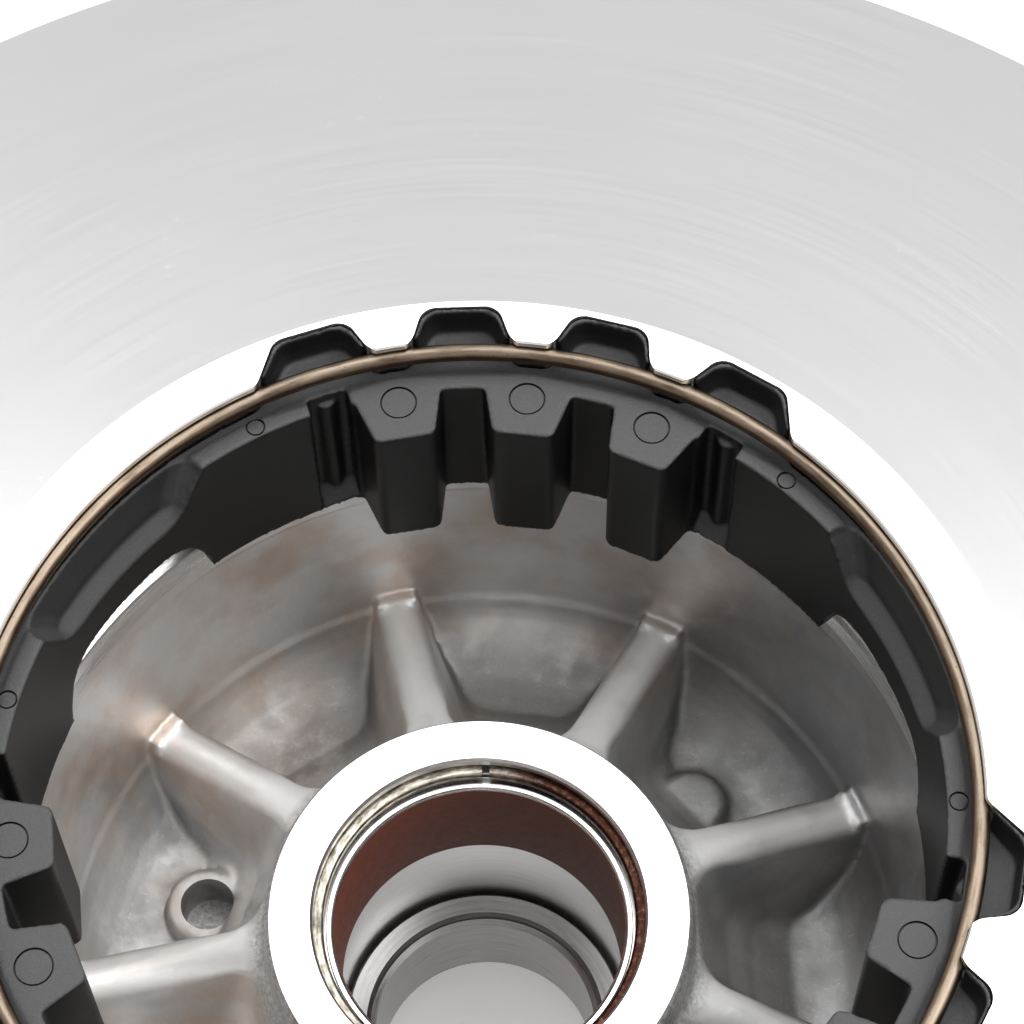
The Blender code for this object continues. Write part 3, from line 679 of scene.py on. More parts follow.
def bowl_profile():
    """The bowl inside and out, with the hub's flank, from the lip down."""
    inner_wall = [(HUB_R - 0.1, HUB_TOP_Z - 0.3), (HUB_R + 0.6, HUB_TOP_Z - 0.9)]
    foot = [(HUB_R + 1.6, HUB_TOP_Z - 14.0), (HUB_R + 3.0, BOWL_FLOOR_Z)]
    corner = arc((BOWL_LOW_R - 9.3, BOWL_FLOOR_Z + 9.0), 9.0, 270, 360, 8)
    wall = [(BOWL_LOW_R + 0.2, BOWL_FLOOR_Z + 9.6), (BOWL_TOP_R, LIP_Z - 0.3), (54.5, LIP_Z - 0.3)]
    outside = [(57.0, -40.0), (56.4, -62.0), (54.0, -69.0), (48.0, BOWL_UNDERSIDE_Z)]
    tube = [
        (HUB_TUBE_R + 5, BOWL_UNDERSIDE_Z - 0.5), (HUB_TUBE_R, BOWL_UNDERSIDE_Z - 4), (HUB_TUBE_R, HUB_END_Z),
        (17.0, HUB_END_Z), (17.0, HUB_TOP_Z - 0.1),
    ]
    return inner_wall + foot + corner + wall + outside + tube


def pocket_outline(height, inner_r):
    """Plan of a pocket at a height, with X along its middle: its ribs are thicker low down and inwards."""
    half_pitch = math.radians(180 / RIBS)
    along = Vector((math.cos(half_pitch), math.sin(half_pitch)))
    inward = Vector((math.sin(half_pitch), -math.cos(half_pitch)))
    rise = height - BOWL_FLOOR_Z
    near = along * inner_r + inward * (6.8 - 0.225 * rise)
    far = along * 62.0 + inward * (2.5 - 0.05 * rise)
    corners = [near, far, Vector((far.x, -far.y)), Vector((near.x, -near.y))]
    return rounded(corners, 4.5)


def pocket(index):
    """The space between two ribs, down to the bowl's floor, with a sloping side towards the hub."""
    turn = Matrix.Rotation(math.radians(RIB_START + 360 / RIBS * (index + 0.5)), 2)
    levels = [(-1.5, 38.4), (0.35, 38.2), (0.9, 37.2), (3.2, 33.6), (7.5, 30.4), (13.0, 28.2), (24.0, 26.4)]
    rings = []
    for rise, inner_r in levels:
        height = BOWL_FLOOR_Z + rise
        rings.append([(*(turn @ Vector(p)), height) for p in pocket_outline(height, inner_r)])
    return loft(rings)


def spider_profile():
    """What the pockets are cut from: a cone whose top is the ribs' tops."""
    top = [(HUB_R - 2.0, HUB_TOP_Z - 4.6), (HUB_R + 2.0, HUB_TOP_Z - 6.2), (49.2, -53.9), (49.8, -53.5)]
    end = [(50.8, -53.7), (53.6, -57.0), (53.6, BOWL_FLOOR_Z - 2), (HUB_R - 2.0, BOWL_FLOOR_Z - 2)]
    return top + end


def rib_slope():
    """Where the ribs' tops start, how steeply they fall outwards, and where they end."""
    (inner_r, inner_z), (outer_r, outer_z) = spider_profile()[1:3]
    return inner_r, inner_z, (outer_z - inner_z) / (outer_r - inner_r), outer_r


def rib_rounding(index):
    """What is cut from a rib to round its top: an arch along the rib that flattens out towards the hub."""
    turn = Matrix.Rotation(math.radians(RIB_START + 360 / RIBS * index), 3, "Z")
    inner_r, inner_z, fall, outer_r = rib_slope()
    rings = []
    for r, curve in ((inner_r - 1.0, 0.01), (31.0, 0.12), (36.0, 0.2), (outer_r, 0.2)):
        top = inner_z + fall * (r - inner_r) - 0.04
        offsets = [RIB_CUT_HALF * i / 8 for i in range(-8, 9)]
        arched = [(offset, top - curve * offset ** 2) for offset in offsets]
        outline = arched + [(RIB_CUT_HALF, top + 3.0), (-RIB_CUT_HALF, top + 3.0)]
        rings.append([tuple(turn @ Vector((r, y, z))) for y, z in outline])
    return loft(rings)


def boss(index, radius, top):
    place = polar(BOSS_CIRCLE_R, BOSS_START + 120 * index)
    levels = [(radius + 1.2, -5.0), (radius + 0.5, top - 1.5), (radius + 0.1, top - 0.4), (radius - 0.4, top)]
    rings = []
    for r, z in levels:
        rings.append([(x, y, BOWL_FLOOR_Z + z) for x, y in circle(place, r, 40)])
    return loft(rings)


def make_bowl(cast, rough):
    """The cast bowl with its ribs, bosses and hub."""
    bowl = piece("bowl", [turned(spider_profile(), 240)], "sliding_half", None)
    combine(bowl, [pocket(k) for k in range(RIBS)], "DIFFERENCE")
    combine(bowl, [rib_rounding(k) for k in range(RIBS)], "DIFFERENCE")
    combine(bowl, [turned(bowl_profile(), 240)], "UNION")
    combine(bowl, [boss(0, 4.2, 2.4), boss(1, 4.9, 3.0), boss(2, 4.9, 3.0)], "UNION")
    soften(bowl, 0.45, 5)
    hole = polar(BOSS_CIRCLE_R, BOSS_START + 120)
    cuts = [upright(circle(hole, 3.4), BOWL_FLOOR_Z - 4.0, BOWL_FLOOR_Z + 8)]
    cuts.append(upright(circle((0, 0), 22.0, 200), HUB_END_Z - 2, HUB_TOP_Z + 4))
    combine(bowl, cuts, "DIFFERENCE", "MANIFOLD")
    smooth(bowl, 50)

    def rule(radius, height, up):
        below = height < BOWL_FLOOR_Z - 3.5
        return np.where((radius > 55.0) | below, 1, 0)

    paint(bowl, [cast, rough], rule)
    return bowl


def make_hub_face(bright, bore, rough):
    """The hub's machined top, its bore with the ring's groove, and the bush seats."""
    profile = [
        (BORE_R, HUB_END_Z), (BORE_R, -61.3), (BUSH_SEAT_R + 0.1, -61.0), (BUSH_SEAT_R + 0.1, -42.8),
        (21.0, -42.8), (21.0, -41.0), (BUSH_SEAT_R + 0.5, -41.0), (BUSH_SEAT_R + 0.2, -40.6),
        (BUSH_SEAT_R + 0.2, HUB_TOP_Z - 0.5), (BUSH_SEAT_R + 0.5, HUB_TOP_Z - 0.05),
        (BUSH_SEAT_R + 0.8, HUB_TOP_Z), (HUB_R, HUB_TOP_Z), (HUB_R + 0.1, HUB_TOP_Z - 0.1),
        (HUB_R - 0.6, HUB_TOP_Z - 2.0), (22.5, HUB_TOP_Z - 4.0), (22.5, HUB_END_Z + 0.1),
        (23.6, HUB_END_Z + 0.1), (23.6, HUB_END_Z),
    ]
    hub = piece("hub_face", [turned(profile)], "sliding_half", None)
    smooth(hub, 30)

    def rule(radius, height, up):
        # painted shade: the ring's groove takes the dark rough casting
        groove = (radius > BUSH_SEAT_R + 0.3) & (radius < 21.5) & (height < -40.9) & (height > -43.0)
        return np.where(groove, 2, np.where((np.abs(up) < 0.6) & (radius < 21.5), 1, 0))

    paint(hub, [bright, bore, rough], rule)
    return hub


# ---------------------------------------------- gear, circlip and bushes


def gear_lug(centre):
    """A lug that narrows towards the axis, with rounded corners at its tip."""
    corners = [polar(LUG_TIP_R, centre - 4.4), polar(LUG_TIP_R, centre + 4.4)]
    corners += [polar(GEAR_INNER_R + 2.2, centre + 6.1), polar(GEAR_INNER_R + 2.2, centre - 6.1)]
    return upright(rounded(corners, 1.0), GEAR_END_Z, GEAR_TOP_Z)


def arch(centre):
    """The window under the thin stretch between two groups, rounded at the top."""
    levels = [(0.0, GEAR_END_Z - 2), (0.2, GEAR_END_Z + 1.5), (1.2, -22.8), (2.3, -20.6), (3.8, -19.2)]
    levels += [(5.6, -18.4), (7.6, -18.2)]
    rings = []
    for ease, z in levels:
        start, end = centre - 14.6 + ease, centre + 14.6 - ease
        outline = arc((0, 0), GEAR_R + 3, start, end, 9) + arc((0, 0), GEAR_INNER_R - 3, end, start, 9)
        rings.append([(x, y, z) for x, y in outline])
    return loft(rings)


def low_stretch(centre):
    """What is cut away above the ledge between two groups, with soft curves at its back and ends."""
    half = 60 - WEDGE_END
    levels = [
        (-12.4, 5.0, 51.0), (-10.6, 3.9, 52.75), (-10.3, 3.7, 52.9), (-9.5, 3.2, 53.0), (-7.5, 1.9, 53.45),
        (-5.3, 0.4, 53.9), (GEAR_TOP_Z, 0.0, 54.0), (0.0, -0.3, 54.1),
    ]
    rings = []
    for z, ease, outer_r in levels:
        start, end = centre - half + ease, centre + half - ease
        back = arc((0, 0), outer_r, start + 2.4, end - 2.4, 21)
        front = [polar(GEAR_INNER_R - 3, end), polar(GEAR_INNER_R - 3, start)]
        outline = [polar(outer_r - 1.8, start), polar(outer_r - 0.5, start + 0.7)] + back
        outline += [polar(outer_r - 0.5, end - 0.7), polar(outer_r - 1.8, end)] + front
        rings.append([(x, y, z) for x, y in outline])
    return loft(rings)


def ring_body(place, inner_r, outer_r, low, high):
    """An upright tube about a plan point."""
    points, faces = turned([(inner_r, low), (outer_r, low), (outer_r, high), (inner_r, high)], 40)
    return [(x + place[0], y + place[1], z) for x, y, z in points], faces


def ejector_marks():
    """Round marks in the tops of the lugs and the wedges: a slightly sunk disc inside a narrow groove."""
    marks = []
    for centre in group_angles():
        marks += [(polar(49.8, centre + place * TOOTH_PITCH), 2.1) for place in (-1, 0, 1)]
        marks += [(polar(52.3, centre + side * 35.7), 1.1) for side in (-1, 1)]
    discs = [upright(circle(place, r - 0.1, 40), GEAR_TOP_Z - 0.08, GEAR_TOP_Z + 1) for place, r in marks]
    grooves = [ring_body(place, r - 0.18, r + 0.04, GEAR_TOP_Z - 0.5, GEAR_TOP_Z + 1) for place, r in marks]
    return discs, grooves


def notch_recess(centre, place):
    """The hollow of one tooth, open towards the wire, whose walls widen upwards to a thin rim."""
    levels = [(GEAR_TOP_Z - 0.2, 1.1), (GEAR_TOP_Z + 0.1, 0.9), (-2.5, 0.65), (1.0, 0.4)]
    rings = []
    for z, shrink in levels:
        rings.append([(x, y, z) for x, y in notch_outline(centre, place, 53.2, shrink)])
    return loft(rings)


def between_groups():
    return [centre + 60 for centre in group_angles()]


def deep_pocket(centre, side):
    """The pocket between a group's outer lug and the wedge; pocket_rib adds the upright rib on its back wall.
    """
    middle = centre + side * 25.9
    rings = []
    for z, inner_r, outer_r in ((GEAR_END_Z - 0.8, 47.0, 50.4), (-24.6, 47.0, 53.2), (0.0, 47.0, 53.3)):
        outline = arc((0, 0), outer_r, middle - 2.6, middle + 2.6, 9)
        outline += arc((0, 0), inner_r, middle + 2.8, middle - 2.8, 9)
        rings.append([(x, y, z) for x, y in outline])
    return loft(rings)


def pocket_rib(centre, side):
    """A round upright rib on the deep pocket's back wall."""
    place = polar(54.0, centre + side * 25.9)
    return upright(circle(place, 1.4, 24), GEAR_END_Z + 0.2, -6.5)


def make_torque_gear(plastic):
    wall = [(GEAR_INNER_R, GEAR_END_Z), (GEAR_R, GEAR_END_Z)]
    wall += [(GEAR_R, GEAR_TOP_Z), (GEAR_INNER_R, GEAR_TOP_Z)]
    gear = piece("torque_gear_skin", [turned(wall)], "sliding_half", "torque_gear")
    lugs = [gear_lug(c + place * TOOTH_PITCH) for c in group_angles() for place in (-1, 0, 1)]
    outlines = [notch_outline(c, p, GEAR_R - 1.5, 0.12) for c, p in notch_places()]
    teeth = [upright(outline, NOTCH_FLOOR_Z + GAP, -0.15) for outline in outlines]
    combine(gear, lugs, "UNION")
    combine(gear, teeth, "UNION")
    foot = GEAR_TOP_Z + 0.06
    channel = [(50.0, foot), (55.45, foot), (55.45, 1.0), (50.0, 1.0)]
    groove = [(53.3, GEAR_TOP_Z - 0.45), (54.9, GEAR_TOP_Z - 0.45), (55.0, 0.5), (53.2, 0.5)]
    combine(gear, [notch_recess(c, p) for c, p in notch_places()], "DIFFERENCE")
    combine(gear, [turned(channel)], "DIFFERENCE")
    combine(gear, [turned(groove, 356)], "DIFFERENCE")
    combine(gear, [low_stretch(c) for c in between_groups()], "DIFFERENCE")
    sides = [(c, side) for c in group_angles() for side in (-1, 1)]
    combine(gear, [deep_pocket(c, side) for c, side in sides], "DIFFERENCE")
    combine(gear, [pocket_rib(c, side) for c, side in sides], "UNION")
    combine(gear, [arch(c) for c in between_groups()], "DIFFERENCE")
    soften(gear, 0.3, 4)
    for marks in ejector_marks():
        combine(gear, marks, "DIFFERENCE", "MANIFOLD")
    finish(gear, plastic, 60)
    return gear


def split_ring(section, start, end, steps=720):
    """A (radius, height) section swept round the axis from one angle to another."""
    rings = []
    for step in range(steps + 1):
        angle = math.radians(start + (end - start) * step / steps)
        rings.append([(r * math.cos(angle), r * math.sin(angle), z) for r, z in section])
    return loft(rings)


def make_circlip(material):
    section = circle((WIRE_CIRCLE_R, WIRE_Z), WIRE_R, 24)
    bodies = [split_ring(section, -86, 266)]
    wire = piece("circlip_wire", bodies, "sliding_half", "gear_circlip")
    finish(wire, material, 60)
    return wire


def make_snap_ring(material):
    corners = [(18.45, -42.65), (20.7, -42.65), (20.7, -41.2), (18.45, -41.2)]
    section = rounded(corners, 0.45, 5)
    bodies = [split_ring(section, 88.0, 445.3)]
    ring = piece("snap_ring", bodies, "sliding_half", "bush_snap_ring")
    finish(ring, material, 60)
    return ring


def make_upper_bush(lining, shell):
    top = UPPER_BUSH_TOP_Z
    end = UPPER_BUSH_END_Z
    profile = [
        (UPPER_BORE_R + 0.1, top - 0.45), (UPPER_BORE_R, top - 0.7), (UPPER_BORE_R, end + 0.8),
        (UPPER_BORE_R + 0.7, end), (19.3, end), (19.3, top - 0.8), (18.25, top - 0.8), (18.2, top - 0.1),
        (18.1, top), (UPPER_BORE_R + 0.45, top), (UPPER_BORE_R + 0.3, top - 0.12),
    ]
    bush = piece("upper_bush_skin", [turned(profile)], "sliding_half", "upper_bush")
    smooth(bush, 35)

    def rule(radius, height, up):
        return (radius > UPPER_BORE_R + 0.15) | (height > top - 0.3)

    paint(bush, [lining, shell], rule)
    return bush


def make_lower_bush(material):
    top = LOWER_BUSH_TOP_Z
    end = LOWER_BUSH_END_Z
    profile = [
        (LOWER_BORE_R, end + 0.8), (LOWER_BORE_R + 0.6, end), (17.9, end), (17.9, top - 0.3), (17.6, top),
        (LOWER_BORE_R + 1.2, top), (LOWER_BORE_R + 0.8, top - 0.4), (LOWER_BORE_R + 0.75, top - 1.2),
        (LOWER_BORE_R, top - 1.6),
    ]
    bush = piece("lower_bush_skin", [turned(profile)], "sliding_half", "lower_bush")
    finish(bush, material, 35)
    return bush


# ----------------------------------------- back of the casting, governor


def lever_angles():
    return [LEVER_START + 360 / LEVERS * k for k in range(LEVERS)]


def tower_angles():
    return [TOWER_START + 360 / LEVERS * k for k in range(LEVERS)]


def both_sides(outline, inner, outer, degrees):
    """Two plates alike on either side of a radial line."""
    return [radial_plate(outline, inner, outer, degrees), radial_plate(outline, -outer, -inner, degrees)]


def back_skin_profile():
    """A thin skin over the flange's underside and the bowl's outside."""
    over = [(58.5, -15.0), (66.5, -12.6), (95.0, -14.8), (118.8, -17.2), (119.4, -19.3), (118.4, -19.5)]
    under = [(95.0, -17.25), (67.0, -14.5), (62.8, -16.2), (60.4, -20.2), (59.8, -38.0), (57.7, -62.0)]
    floor = [(54.9, -69.2), (48.2, -72.9), (38.0, -73.3), (38.0, -71.5), (47.6, -71.3), (53.7, -67.8)]
    return over + under + floor + [(56.2, -61.5), (58.2, -38.0)]


def lever_ears(degrees):
    outline = [(58.0, -46.0), (58.0, -15.0), (88.0, -13.0), (PIVOT_R + 7.0, PIVOT_Z)]
    outline += arc(PIVOT, 7.0, -15, -160, 14)
    return both_sides(outline, LEVER_HALF_WIDTH + EAR_GAP, EAR_FACE, degrees)


def guide_lugs(degrees):
    outline = [(57.5, -15.0), (TOWER_OUTER_R + 3, -13.0), (TOWER_OUTER_R + 1, -70.0), (55.0, -68.0)]
    inner = TOWER_HALF_WIDTH + SHOE_THICKNESS + 2 * GAP
    return both_sides(outline, inner, inner + GUIDE_THICKNESS, degrees)


def back_ribs():
    angles = [angle + offset for angle in lever_angles() for offset in (20, 40, 80, 100)]
    outline = [(58.5, -15.0), (117.0, -16.5), (117.0, -21.0), (58.5, -27.0)]
    return [radial_plate(outline, -1.5, 1.5, angle) for angle in angles]


def make_back(rough):
    """The cast underside: ears for the levers, lugs that guide the shoes, and stiffening ribs."""
    back = piece("back_casting", [turned(back_skin_profile(), 240)], "sliding_half", None)
    combine(back, [ear for angle in lever_angles() for ear in lever_ears(angle)], "UNION")
    combine(back, [lug for angle in tower_angles() for lug in guide_lugs(angle)], "UNION")
    combine(back, back_ribs(), "UNION")
    soften(back, 0.8, 4)
    hole = [(PIVOT_PIN_R + GAP, -EAR_FACE - 2), (PIVOT_PIN_R + GAP, EAR_FACE + 2)]
    for angle in lever_angles():
        combine(back, [cross_turned(hole, PIVOT, angle)], "DIFFERENCE", "MANIFOLD")
        for side in (-1, 1):
            spot = [(6.0, side * EAR_FACE - 0.2), (6.0, side * EAR_FACE + side * 1.5)]
            combine(back, [cross_turned(spot, PIVOT, angle)], "DIFFERENCE", "MANIFOLD")
    finish(back, rough, 50)


def moved(outline, dx, dz):
    return [(x + dx, z + dz) for x, z in outline]


def lever_outline():
    """Side of a lever hanging from its pivot, with its weight on the outer side."""
    head = arc((0, 0), 6.4, 180, 0, 24)
    weight = rounded([(9.5, -5.0), (12.6, -11.0), (12.8, -17.0), (9.5, -24.0)], 2.5)[5:15]
    tip = arc((0, -LEVER_LENGTH), 5.0, 20, -180, 24)
    return head + [(9.0, -4.2)] + weight + [(9.5, -24.0)] + tip


def make_lever(number, degrees, steel):
    outline = moved(lever_outline(), *PIVOT)
    body = radial_plate(outline, -LEVER_HALF_WIDTH, LEVER_HALF_WIDTH, degrees)
    name = f"lever_{number}"
    lever = piece(f"{name}_steel", [body], name, name)
    wide = LEVER_HALF_WIDTH + 1
    pivot_hole = [(PIVOT_PIN_R + GAP, -wide), (PIVOT_PIN_R + GAP, wide)]
    pin_hole = [(ROLLER_PIN_R + GAP, -wide), (ROLLER_PIN_R + GAP, wide)]
    slot = [(-12, ROLLER_R + 1), (16, ROLLER_R + 1), (16, -10), (-12, -10)]
    slot_half = ROLLER_HALF_WIDTH + GAP
    holes = [cross_turned(pivot_hole, PIVOT, degrees), cross_turned(pin_hole, TIP, degrees)]
    combine(lever, holes, "DIFFERENCE")
    combine(lever, [radial_plate(moved(slot, *TIP), -slot_half, slot_half, degrees)], "DIFFERENCE")
    bevelled(lever, 0.5)
    coat(lever, steel)


def make_pivot_bolt(number, degrees, zinc):
    """A bolt with a round socket head on one side and its thread on the other."""
    face = EAR_FACE + GAP
    stations = [(2.2, -face - 5.5)]
    for turn in range(7):
        start = -face - 5.1 + 0.75 * turn
        stations += [(2.65, start), (PIVOT_PIN_R, start + 0.37)]
    stations += [(PIVOT_PIN_R, -face + 0.4), (PIVOT_PIN_R, face), (4.9, face), (5.2, face + 0.3)]
    stations += [(5.2, face + 2.5), (5.0, face + 2.85), (4.7, face + 3.0)]
    name = f"pivot_bolt_{number}"
    bolt = piece(f"{name}_zinc", [cross_turned(stations, PIVOT, degrees)], "sliding_half", name)
    combine(bolt, [cross_turned([(2.3, face + 1.0), (2.3, face + 4.0)], PIVOT, degrees, 6)], "DIFFERENCE")
    finish(bolt, zinc, 30)


def make_lock_nut(number, degrees, zinc):
    face = EAR_FACE + GAP
    body = cross_turned([(5.2, -face - 4.5), (5.2, -face)], PIVOT, degrees, 6)
    name = f"lock_nut_{number}"
    nut = piece(f"{name}_zinc", [body], "sliding_half", name)
    chamfer = [(4.4, -face - 4.6), (5.3, -face - 4.0), (5.3, -face - 0.5), (4.6, -face + 0.1)]
    combine(nut, [cross_turned(chamfer, PIVOT, degrees)], "INTERSECT")
    bore = [(PIVOT_PIN_R + GAP, -face - 5), (PIVOT_PIN_R + GAP, -face + 1)]
    combine(nut, [cross_turned(bore, PIVOT, degrees)], "DIFFERENCE")
    bevelled(nut, 0.2)
    coat(nut, zinc)


def make_roller(number, degrees, plastic):
    """A roller with rounded edges and a sunk ring in each face."""
    half = ROLLER_HALF_WIDTH
    edge = [(ROLLER_R - 0.5, -half), (ROLLER_R - 0.15, -half + 0.15), (ROLLER_R, -half + 0.5)]
    stations = edge + [(r, -offset) for r, offset in edge[::-1]]
    name = f"roller_{number}"
    body = cross_turned(stations, TIP, degrees, 96)
    roller = piece(f"{name}_plastic", [body], name, name)
    sunk = [[(5.6, side * (half - 0.4)), (5.6, side * (half + 1))] for side in (-1, 1)]
    combine(roller, [cross_turned(ring, TIP, degrees) for ring in sunk], "DIFFERENCE")
    combine(roller, [cross_turned([(3.8, -half + 0.05), (3.8, half - 0.05)], TIP, degrees)], "UNION")
    bore = [(ROLLER_PIN_R + GAP, -half - 1), (ROLLER_PIN_R + GAP, half + 1)]
    combine(roller, [cross_turned(bore, TIP, degrees)], "DIFFERENCE")
    finish(roller, plastic, 30)


def make_roller_pin(number, degrees, zinc):
    half = LEVER_HALF_WIDTH - 0.1
    stations = [(1.0, -half + 0.25), (1.2, -half), (2.1, -half), (ROLLER_PIN_R, -half + 0.35)]
    stations += [(r, -offset) for r, offset in stations[::-1]]
    body = cross_turned(stations, TIP, degrees)
    pin = piece(f"roller_pin_{number}_zinc", [body], f"lever_{number}", f"roller_pin_{number}")
    finish(pin, zinc, 30)


def ramp_curve(offset, count=17):
    """A line beside the path that the rollers' centres take as the cup moves down and the levers swing."""
    points = []
    for i in range(count):
        swing = LEVER_SWING * i / (count - 1)
        radius = PIVOT_R + LEVER_LENGTH * math.sin(swing)
        height = PIVOT_Z - LEVER_LENGTH * math.cos(swing) + CUP_TRAVEL * swing / LEVER_SWING
        outward = LEVER_LENGTH * math.cos(swing)
        upward = LEVER_LENGTH * math.sin(swing) + CUP_TRAVEL / LEVER_SWING
        along = Vector((outward, upward)).normalized()
        points.append((radius + along.y * offset, height - along.x * offset))
    return points


def extended(curve, before, after):
    """A curve carried on in a straight line past both ends."""
    first = Vector(curve[0])
    last = Vector(curve[-1])
    start = first + (first - Vector(curve[1])).normalized() * before
    end = last + (last - Vector(curve[-2])).normalized() * after
    return [tuple(start)] + curve + [tuple(end)]


def ramp_arm(degrees):
    contact = ROLLER_R + GAP
    top = extended(ramp_curve(contact - RAMP_WALL), 9.0, 3.0)
    under = extended(ramp_curve(contact + RAMP_THICKNESS), 0.0, 3.0)[1:]
    foot = [(CUP_DISC_R - 2, FLOOR_Z), (CUP_DISC_R - 14, FLOOR_Z), (CUP_DISC_R - 14, CUP_BASE_TOP_Z + 3)]
    return radial_plate(foot + top + under[::-1], -RAMP_HALF_WIDTH, RAMP_HALF_WIDTH, degrees)


def ramp_channel(degrees):
    """The space above a ramp, between the arm's side walls."""
    surface = extended(ramp_curve(ROLLER_R + GAP), 16.0, 8.0)
    outline = surface + [(surface[-1][0] - 20, surface[-1][1] + 12), (surface[0][0] - 6, surface[0][1] + 30)]
    return radial_plate(outline, -RAMP_CHANNEL_HALF, RAMP_CHANNEL_HALF, degrees)


def tower(degrees):
    outline = [(TOWER_INNER_R, CUP_BASE_TOP_Z - 2), (TOWER_OUTER_R, CUP_BASE_TOP_Z - 2)]
    outline += [(TOWER_OUTER_R, TOWER_TOP_Z), (TOWER_INNER_R, TOWER_TOP_Z)]
    return radial_plate(outline, -TOWER_HALF_WIDTH, TOWER_HALF_WIDTH, degrees)


def make_cup(cup_metal, bronze):
    """The governor cup with its ramps and towers, and the bush pressed into it."""
    top = CUP_BASE_TOP_Z
    disc = [
        (CUP_BORE_R - 1, FLOOR_Z), (CUP_DISC_R - 1, FLOOR_Z), (CUP_DISC_R, FLOOR_Z + 1),
        (CUP_DISC_R, top + 3), (CUP_DISC_R - 4, top + 3), (CUP_DISC_R - 7, top), (CUP_BORE_R - 1, top),
    ]
    cup = piece("cup_casting", [turned(disc, 240)], "governor", "governor_cup")
    combine(cup, [ramp_arm(angle) for angle in lever_angles()], "UNION")
    combine(cup, [ramp_channel(angle) for angle in lever_angles()], "DIFFERENCE")
    combine(cup, [tower(angle) for angle in tower_angles()], "UNION")
    soften(cup, 0.7, 3)
    holes = [upright(circle(polar(46.0, 60 * k), 9.0), FLOOR_Z - 2, CUP_BASE_TOP_Z + 6) for k in range(6)]
    holes.append(upright(circle((0, 0), CUP_BORE_R, 180), FLOOR_Z - 2, CUP_BASE_TOP_Z + 6))
    combine(cup, holes, "DIFFERENCE", "MANIFOLD")
    finish(cup, cup_metal, 50)
    outer = CUP_BORE_R - GAP
    low = FLOOR_Z + 0.5
    profile = [
        (18.2, low + 0.5), (18.6, low), (outer - 0.3, low), (outer, low + 0.3), (outer, top - 0.3),
        (outer - 0.3, top), (18.7, top), (18.2, top - 0.6),
    ]
    bush = piece("cup_bush_bronze", [turned(profile)], "governor", "cup_bush")
    finish(bush, bronze, 25)


def make_slide_shoe(number, degrees, plastic):
    """A U-shaped shoe over the top of a tower."""
    outline = [(TOWER_INNER_R + 1, TOWER_TOP_Z - 22), (TOWER_OUTER_R - 0.5, TOWER_TOP_Z - 22)]
    outline += [(TOWER_OUTER_R - 0.5, TOWER_TOP_Z + 2), (TOWER_INNER_R + 1, TOWER_TOP_Z + 2)]
    slot = [(TOWER_INNER_R - 5, TOWER_TOP_Z - 30), (TOWER_OUTER_R + 5, TOWER_TOP_Z - 30)]
    slot += [(TOWER_OUTER_R + 5, TOWER_TOP_Z + GAP), (TOWER_INNER_R - 5, TOWER_TOP_Z + GAP)]
    inner = TOWER_HALF_WIDTH + GAP
    outer = inner + SHOE_THICKNESS
    body = radial_plate(outline, -outer, outer, degrees)
    name = f"slide_shoe_{number}"
    shoe = piece(f"{name}_plastic", [body], "governor", name)
    combine(shoe, [radial_plate(slot, -inner, inner, degrees)], "DIFFERENCE")
    bevelled(shoe, 0.5)
    coat(shoe, plastic)


def make_governor():
    steel = small_part("lever_steel", (0.10, 0.10, 0.105), (0.22, 0.22, 0.225), 0.9, 0.42)
    zinc = small_part("zinc_steel", (0.52, 0.50, 0.44), (0.72, 0.70, 0.62), 1.0, 0.30, 0.01)
    roller_plastic = small_part("roller_plastic", (0.28, 0.24, 0.17), (0.40, 0.35, 0.26), 0.0, 0.45, 0.02)
    shoe_plastic = small_part("shoe_plastic", (0.58, 0.54, 0.44), (0.70, 0.66, 0.55), 0.0, 0.5, 0.02)
    cup_metal = small_part("cup_aluminium", (0.44, 0.44, 0.435), (0.56, 0.555, 0.55), 0.9, 0.42, 0.04, 0.0)
    bronze = turned_metal("cup_bush_bronze", (0.42, 0.28, 0.12), (0.60, 0.42, 0.20), 0.26, 0.40)
    for number, degrees in enumerate(lever_angles(), start=1):
        make_lever(number, degrees, steel)
        make_pivot_bolt(number, degrees, zinc)
        make_lock_nut(number, degrees, zinc)
        make_roller(number, degrees, roller_plastic)
        make_roller_pin(number, degrees, zinc)
    make_cup(cup_metal, bronze)
    for number, degrees in enumerate(tower_angles(), start=1):
        make_slide_shoe(number, degrees, shoe_plastic)


# -------------------------------------------------------- stage and view


def make_stage():
    """A pale floor well past the object, lit from below like a light table."""
    mesh = bpy.data.meshes.new("floor")
    side = 3.0
    corners = [(-side, -side, 0), (side, -side, 0), (side, side, 0), (-side, side, 0)]
    mesh.from_pydata(corners, [], [(0, 1, 2, 3)])
    floor = bpy.data.objects.new("floor", mesh)
    bpy.context.collection.objects.link(floor)
    mesh.materials.append(pale_floor())


def soft_light(name, azimuth, elevation, distance, size, radiance):
    """A softbox aimed at the rim, placed by its azimuth from +Y towards +X and its elevation."""
    lamp = bpy.data.lights.new(name, "AREA")
    lamp.shape = "RECTANGLE"
    lamp.size, lamp.size_y = size
    lamp.energy = radiance * math.pi * size[0] * size[1]
    light = bpy.data.objects.new(name, lamp)
    bpy.context.collection.objects.link(light)
    x, y = polar(math.cos(math.radians(elevation)), 90 - azimuth)
    ray = Vector((x, y, math.sin(math.radians(elevation))))
    light.location = ray * distance + Vector((0.0, 0.0, RIM_HEIGHT))
    light.rotation_euler = (-ray).to_track_quat("-Z", "Y").to_euler()
    light.visible_camera = False


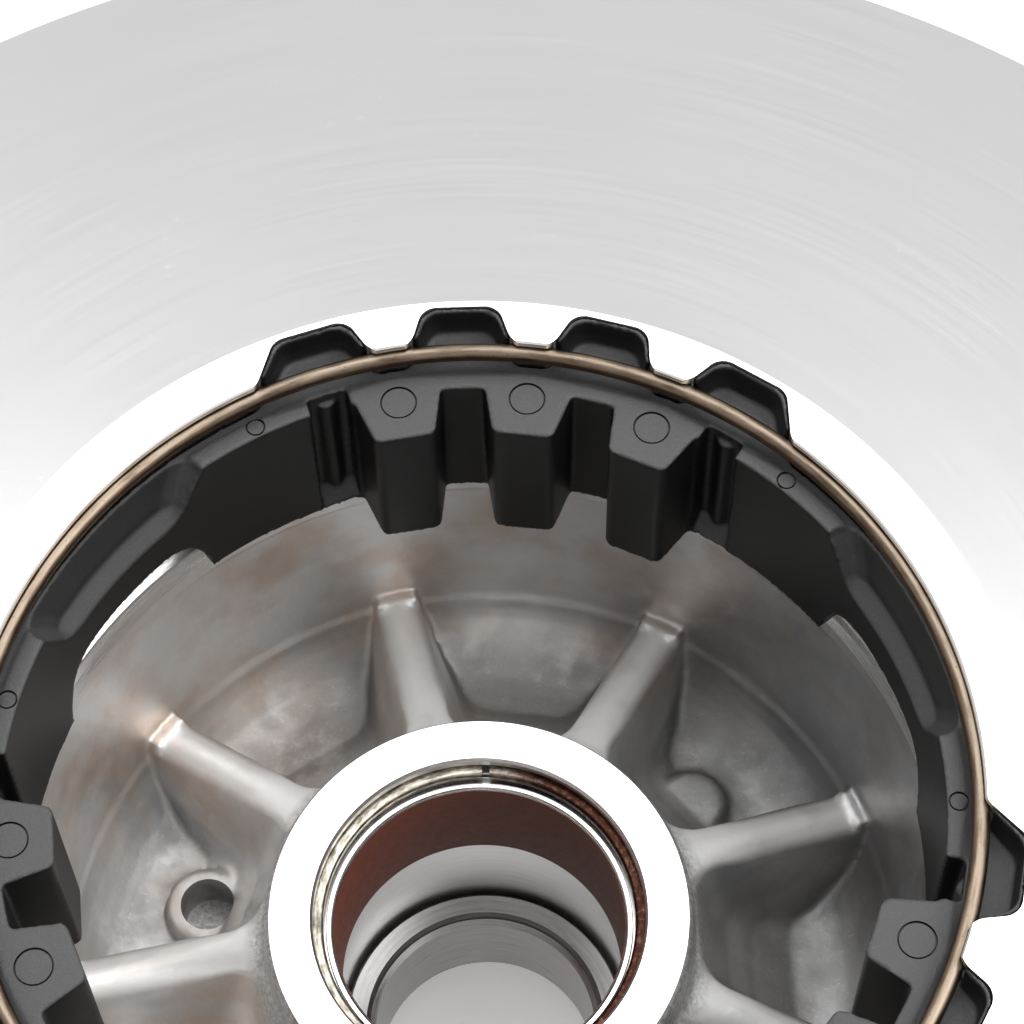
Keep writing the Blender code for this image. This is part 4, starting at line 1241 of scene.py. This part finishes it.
def make_light():
    world = bpy.data.worlds.new("studio")
    world.use_nodes = True
    background = world.node_tree.nodes["Background"]
    background.inputs["Color"].default_value = (1.0, 1.0, 1.0, 1.0)
    background.inputs["Strength"].default_value = 0.72
    bpy.context.scene.world = world
    soft_light("overhead", 0, 71, 1.3, (1.35, 0.9), 2.4)
    soft_light("right_side", 95, 52, 1.3, (0.8, 0.8), 4.0)
    soft_light("left_side", -50, 50, 1.4, (0.8, 0.8), 0.8)


def make_camera():
    """The photograph's view: 61 degrees above the rim, with a slight roll."""
    tilt = math.radians(28.768)
    roll = math.radians(-1.404)
    rim = RIM_R * MM
    forward = Vector((0.0, math.sin(tilt), -math.cos(tilt)))
    right = Vector((1.0, 0.0, 0.0))
    up = right.cross(forward)
    x_axis = right * math.cos(roll) + up * math.sin(roll)
    y_axis = up * math.cos(roll) - right * math.sin(roll)
    target = Vector((0.0841 * rim, 0.5339 * rim, RIM_HEIGHT))
    data = bpy.data.cameras.new("camera")
    data.sensor_width = SENSOR_WIDTH
    data.lens = LENS
    data.clip_start = 0.02
    camera = bpy.data.objects.new("camera", data)
    bpy.context.collection.objects.link(camera)
    pose = Matrix((x_axis, y_axis, -forward)).transposed().to_4x4()
    pose.translation = target - forward * (5.7878 * rim)
    camera.matrix_world = pose
    bpy.context.scene.camera = camera


def build():
    cast = cast_aluminium()
    rough = rough_casting()
    bright = bright_aluminium()
    bore = turned_metal("bore_aluminium", (0.86, 0.86, 0.86), (0.98, 0.98, 0.98), 0.28, 0.40)
    steel = turned_metal("bush_steel", (0.26, 0.255, 0.25), (0.42, 0.415, 0.41), 0.26, 0.38)
    shell = turned_metal("bush_shell", (0.80, 0.79, 0.76), (0.95, 0.95, 0.94), 0.22, 0.32)
    make_flange(satin_aluminium(), bright, rough, cast)
    make_bowl(cast, rough)
    make_back(rough)
    make_hub_face(bright, bore, rough)
    make_torque_gear(black_plastic())
    make_circlip(bronze_wire())
    make_snap_ring(plated_steel())
    make_upper_bush(bush_lining(), shell)
    make_lower_bush(steel)
    make_governor()
    make_stage()
    make_light()
    make_camera()
    bpy.context.scene.view_settings.view_transform = "Standard"


build()
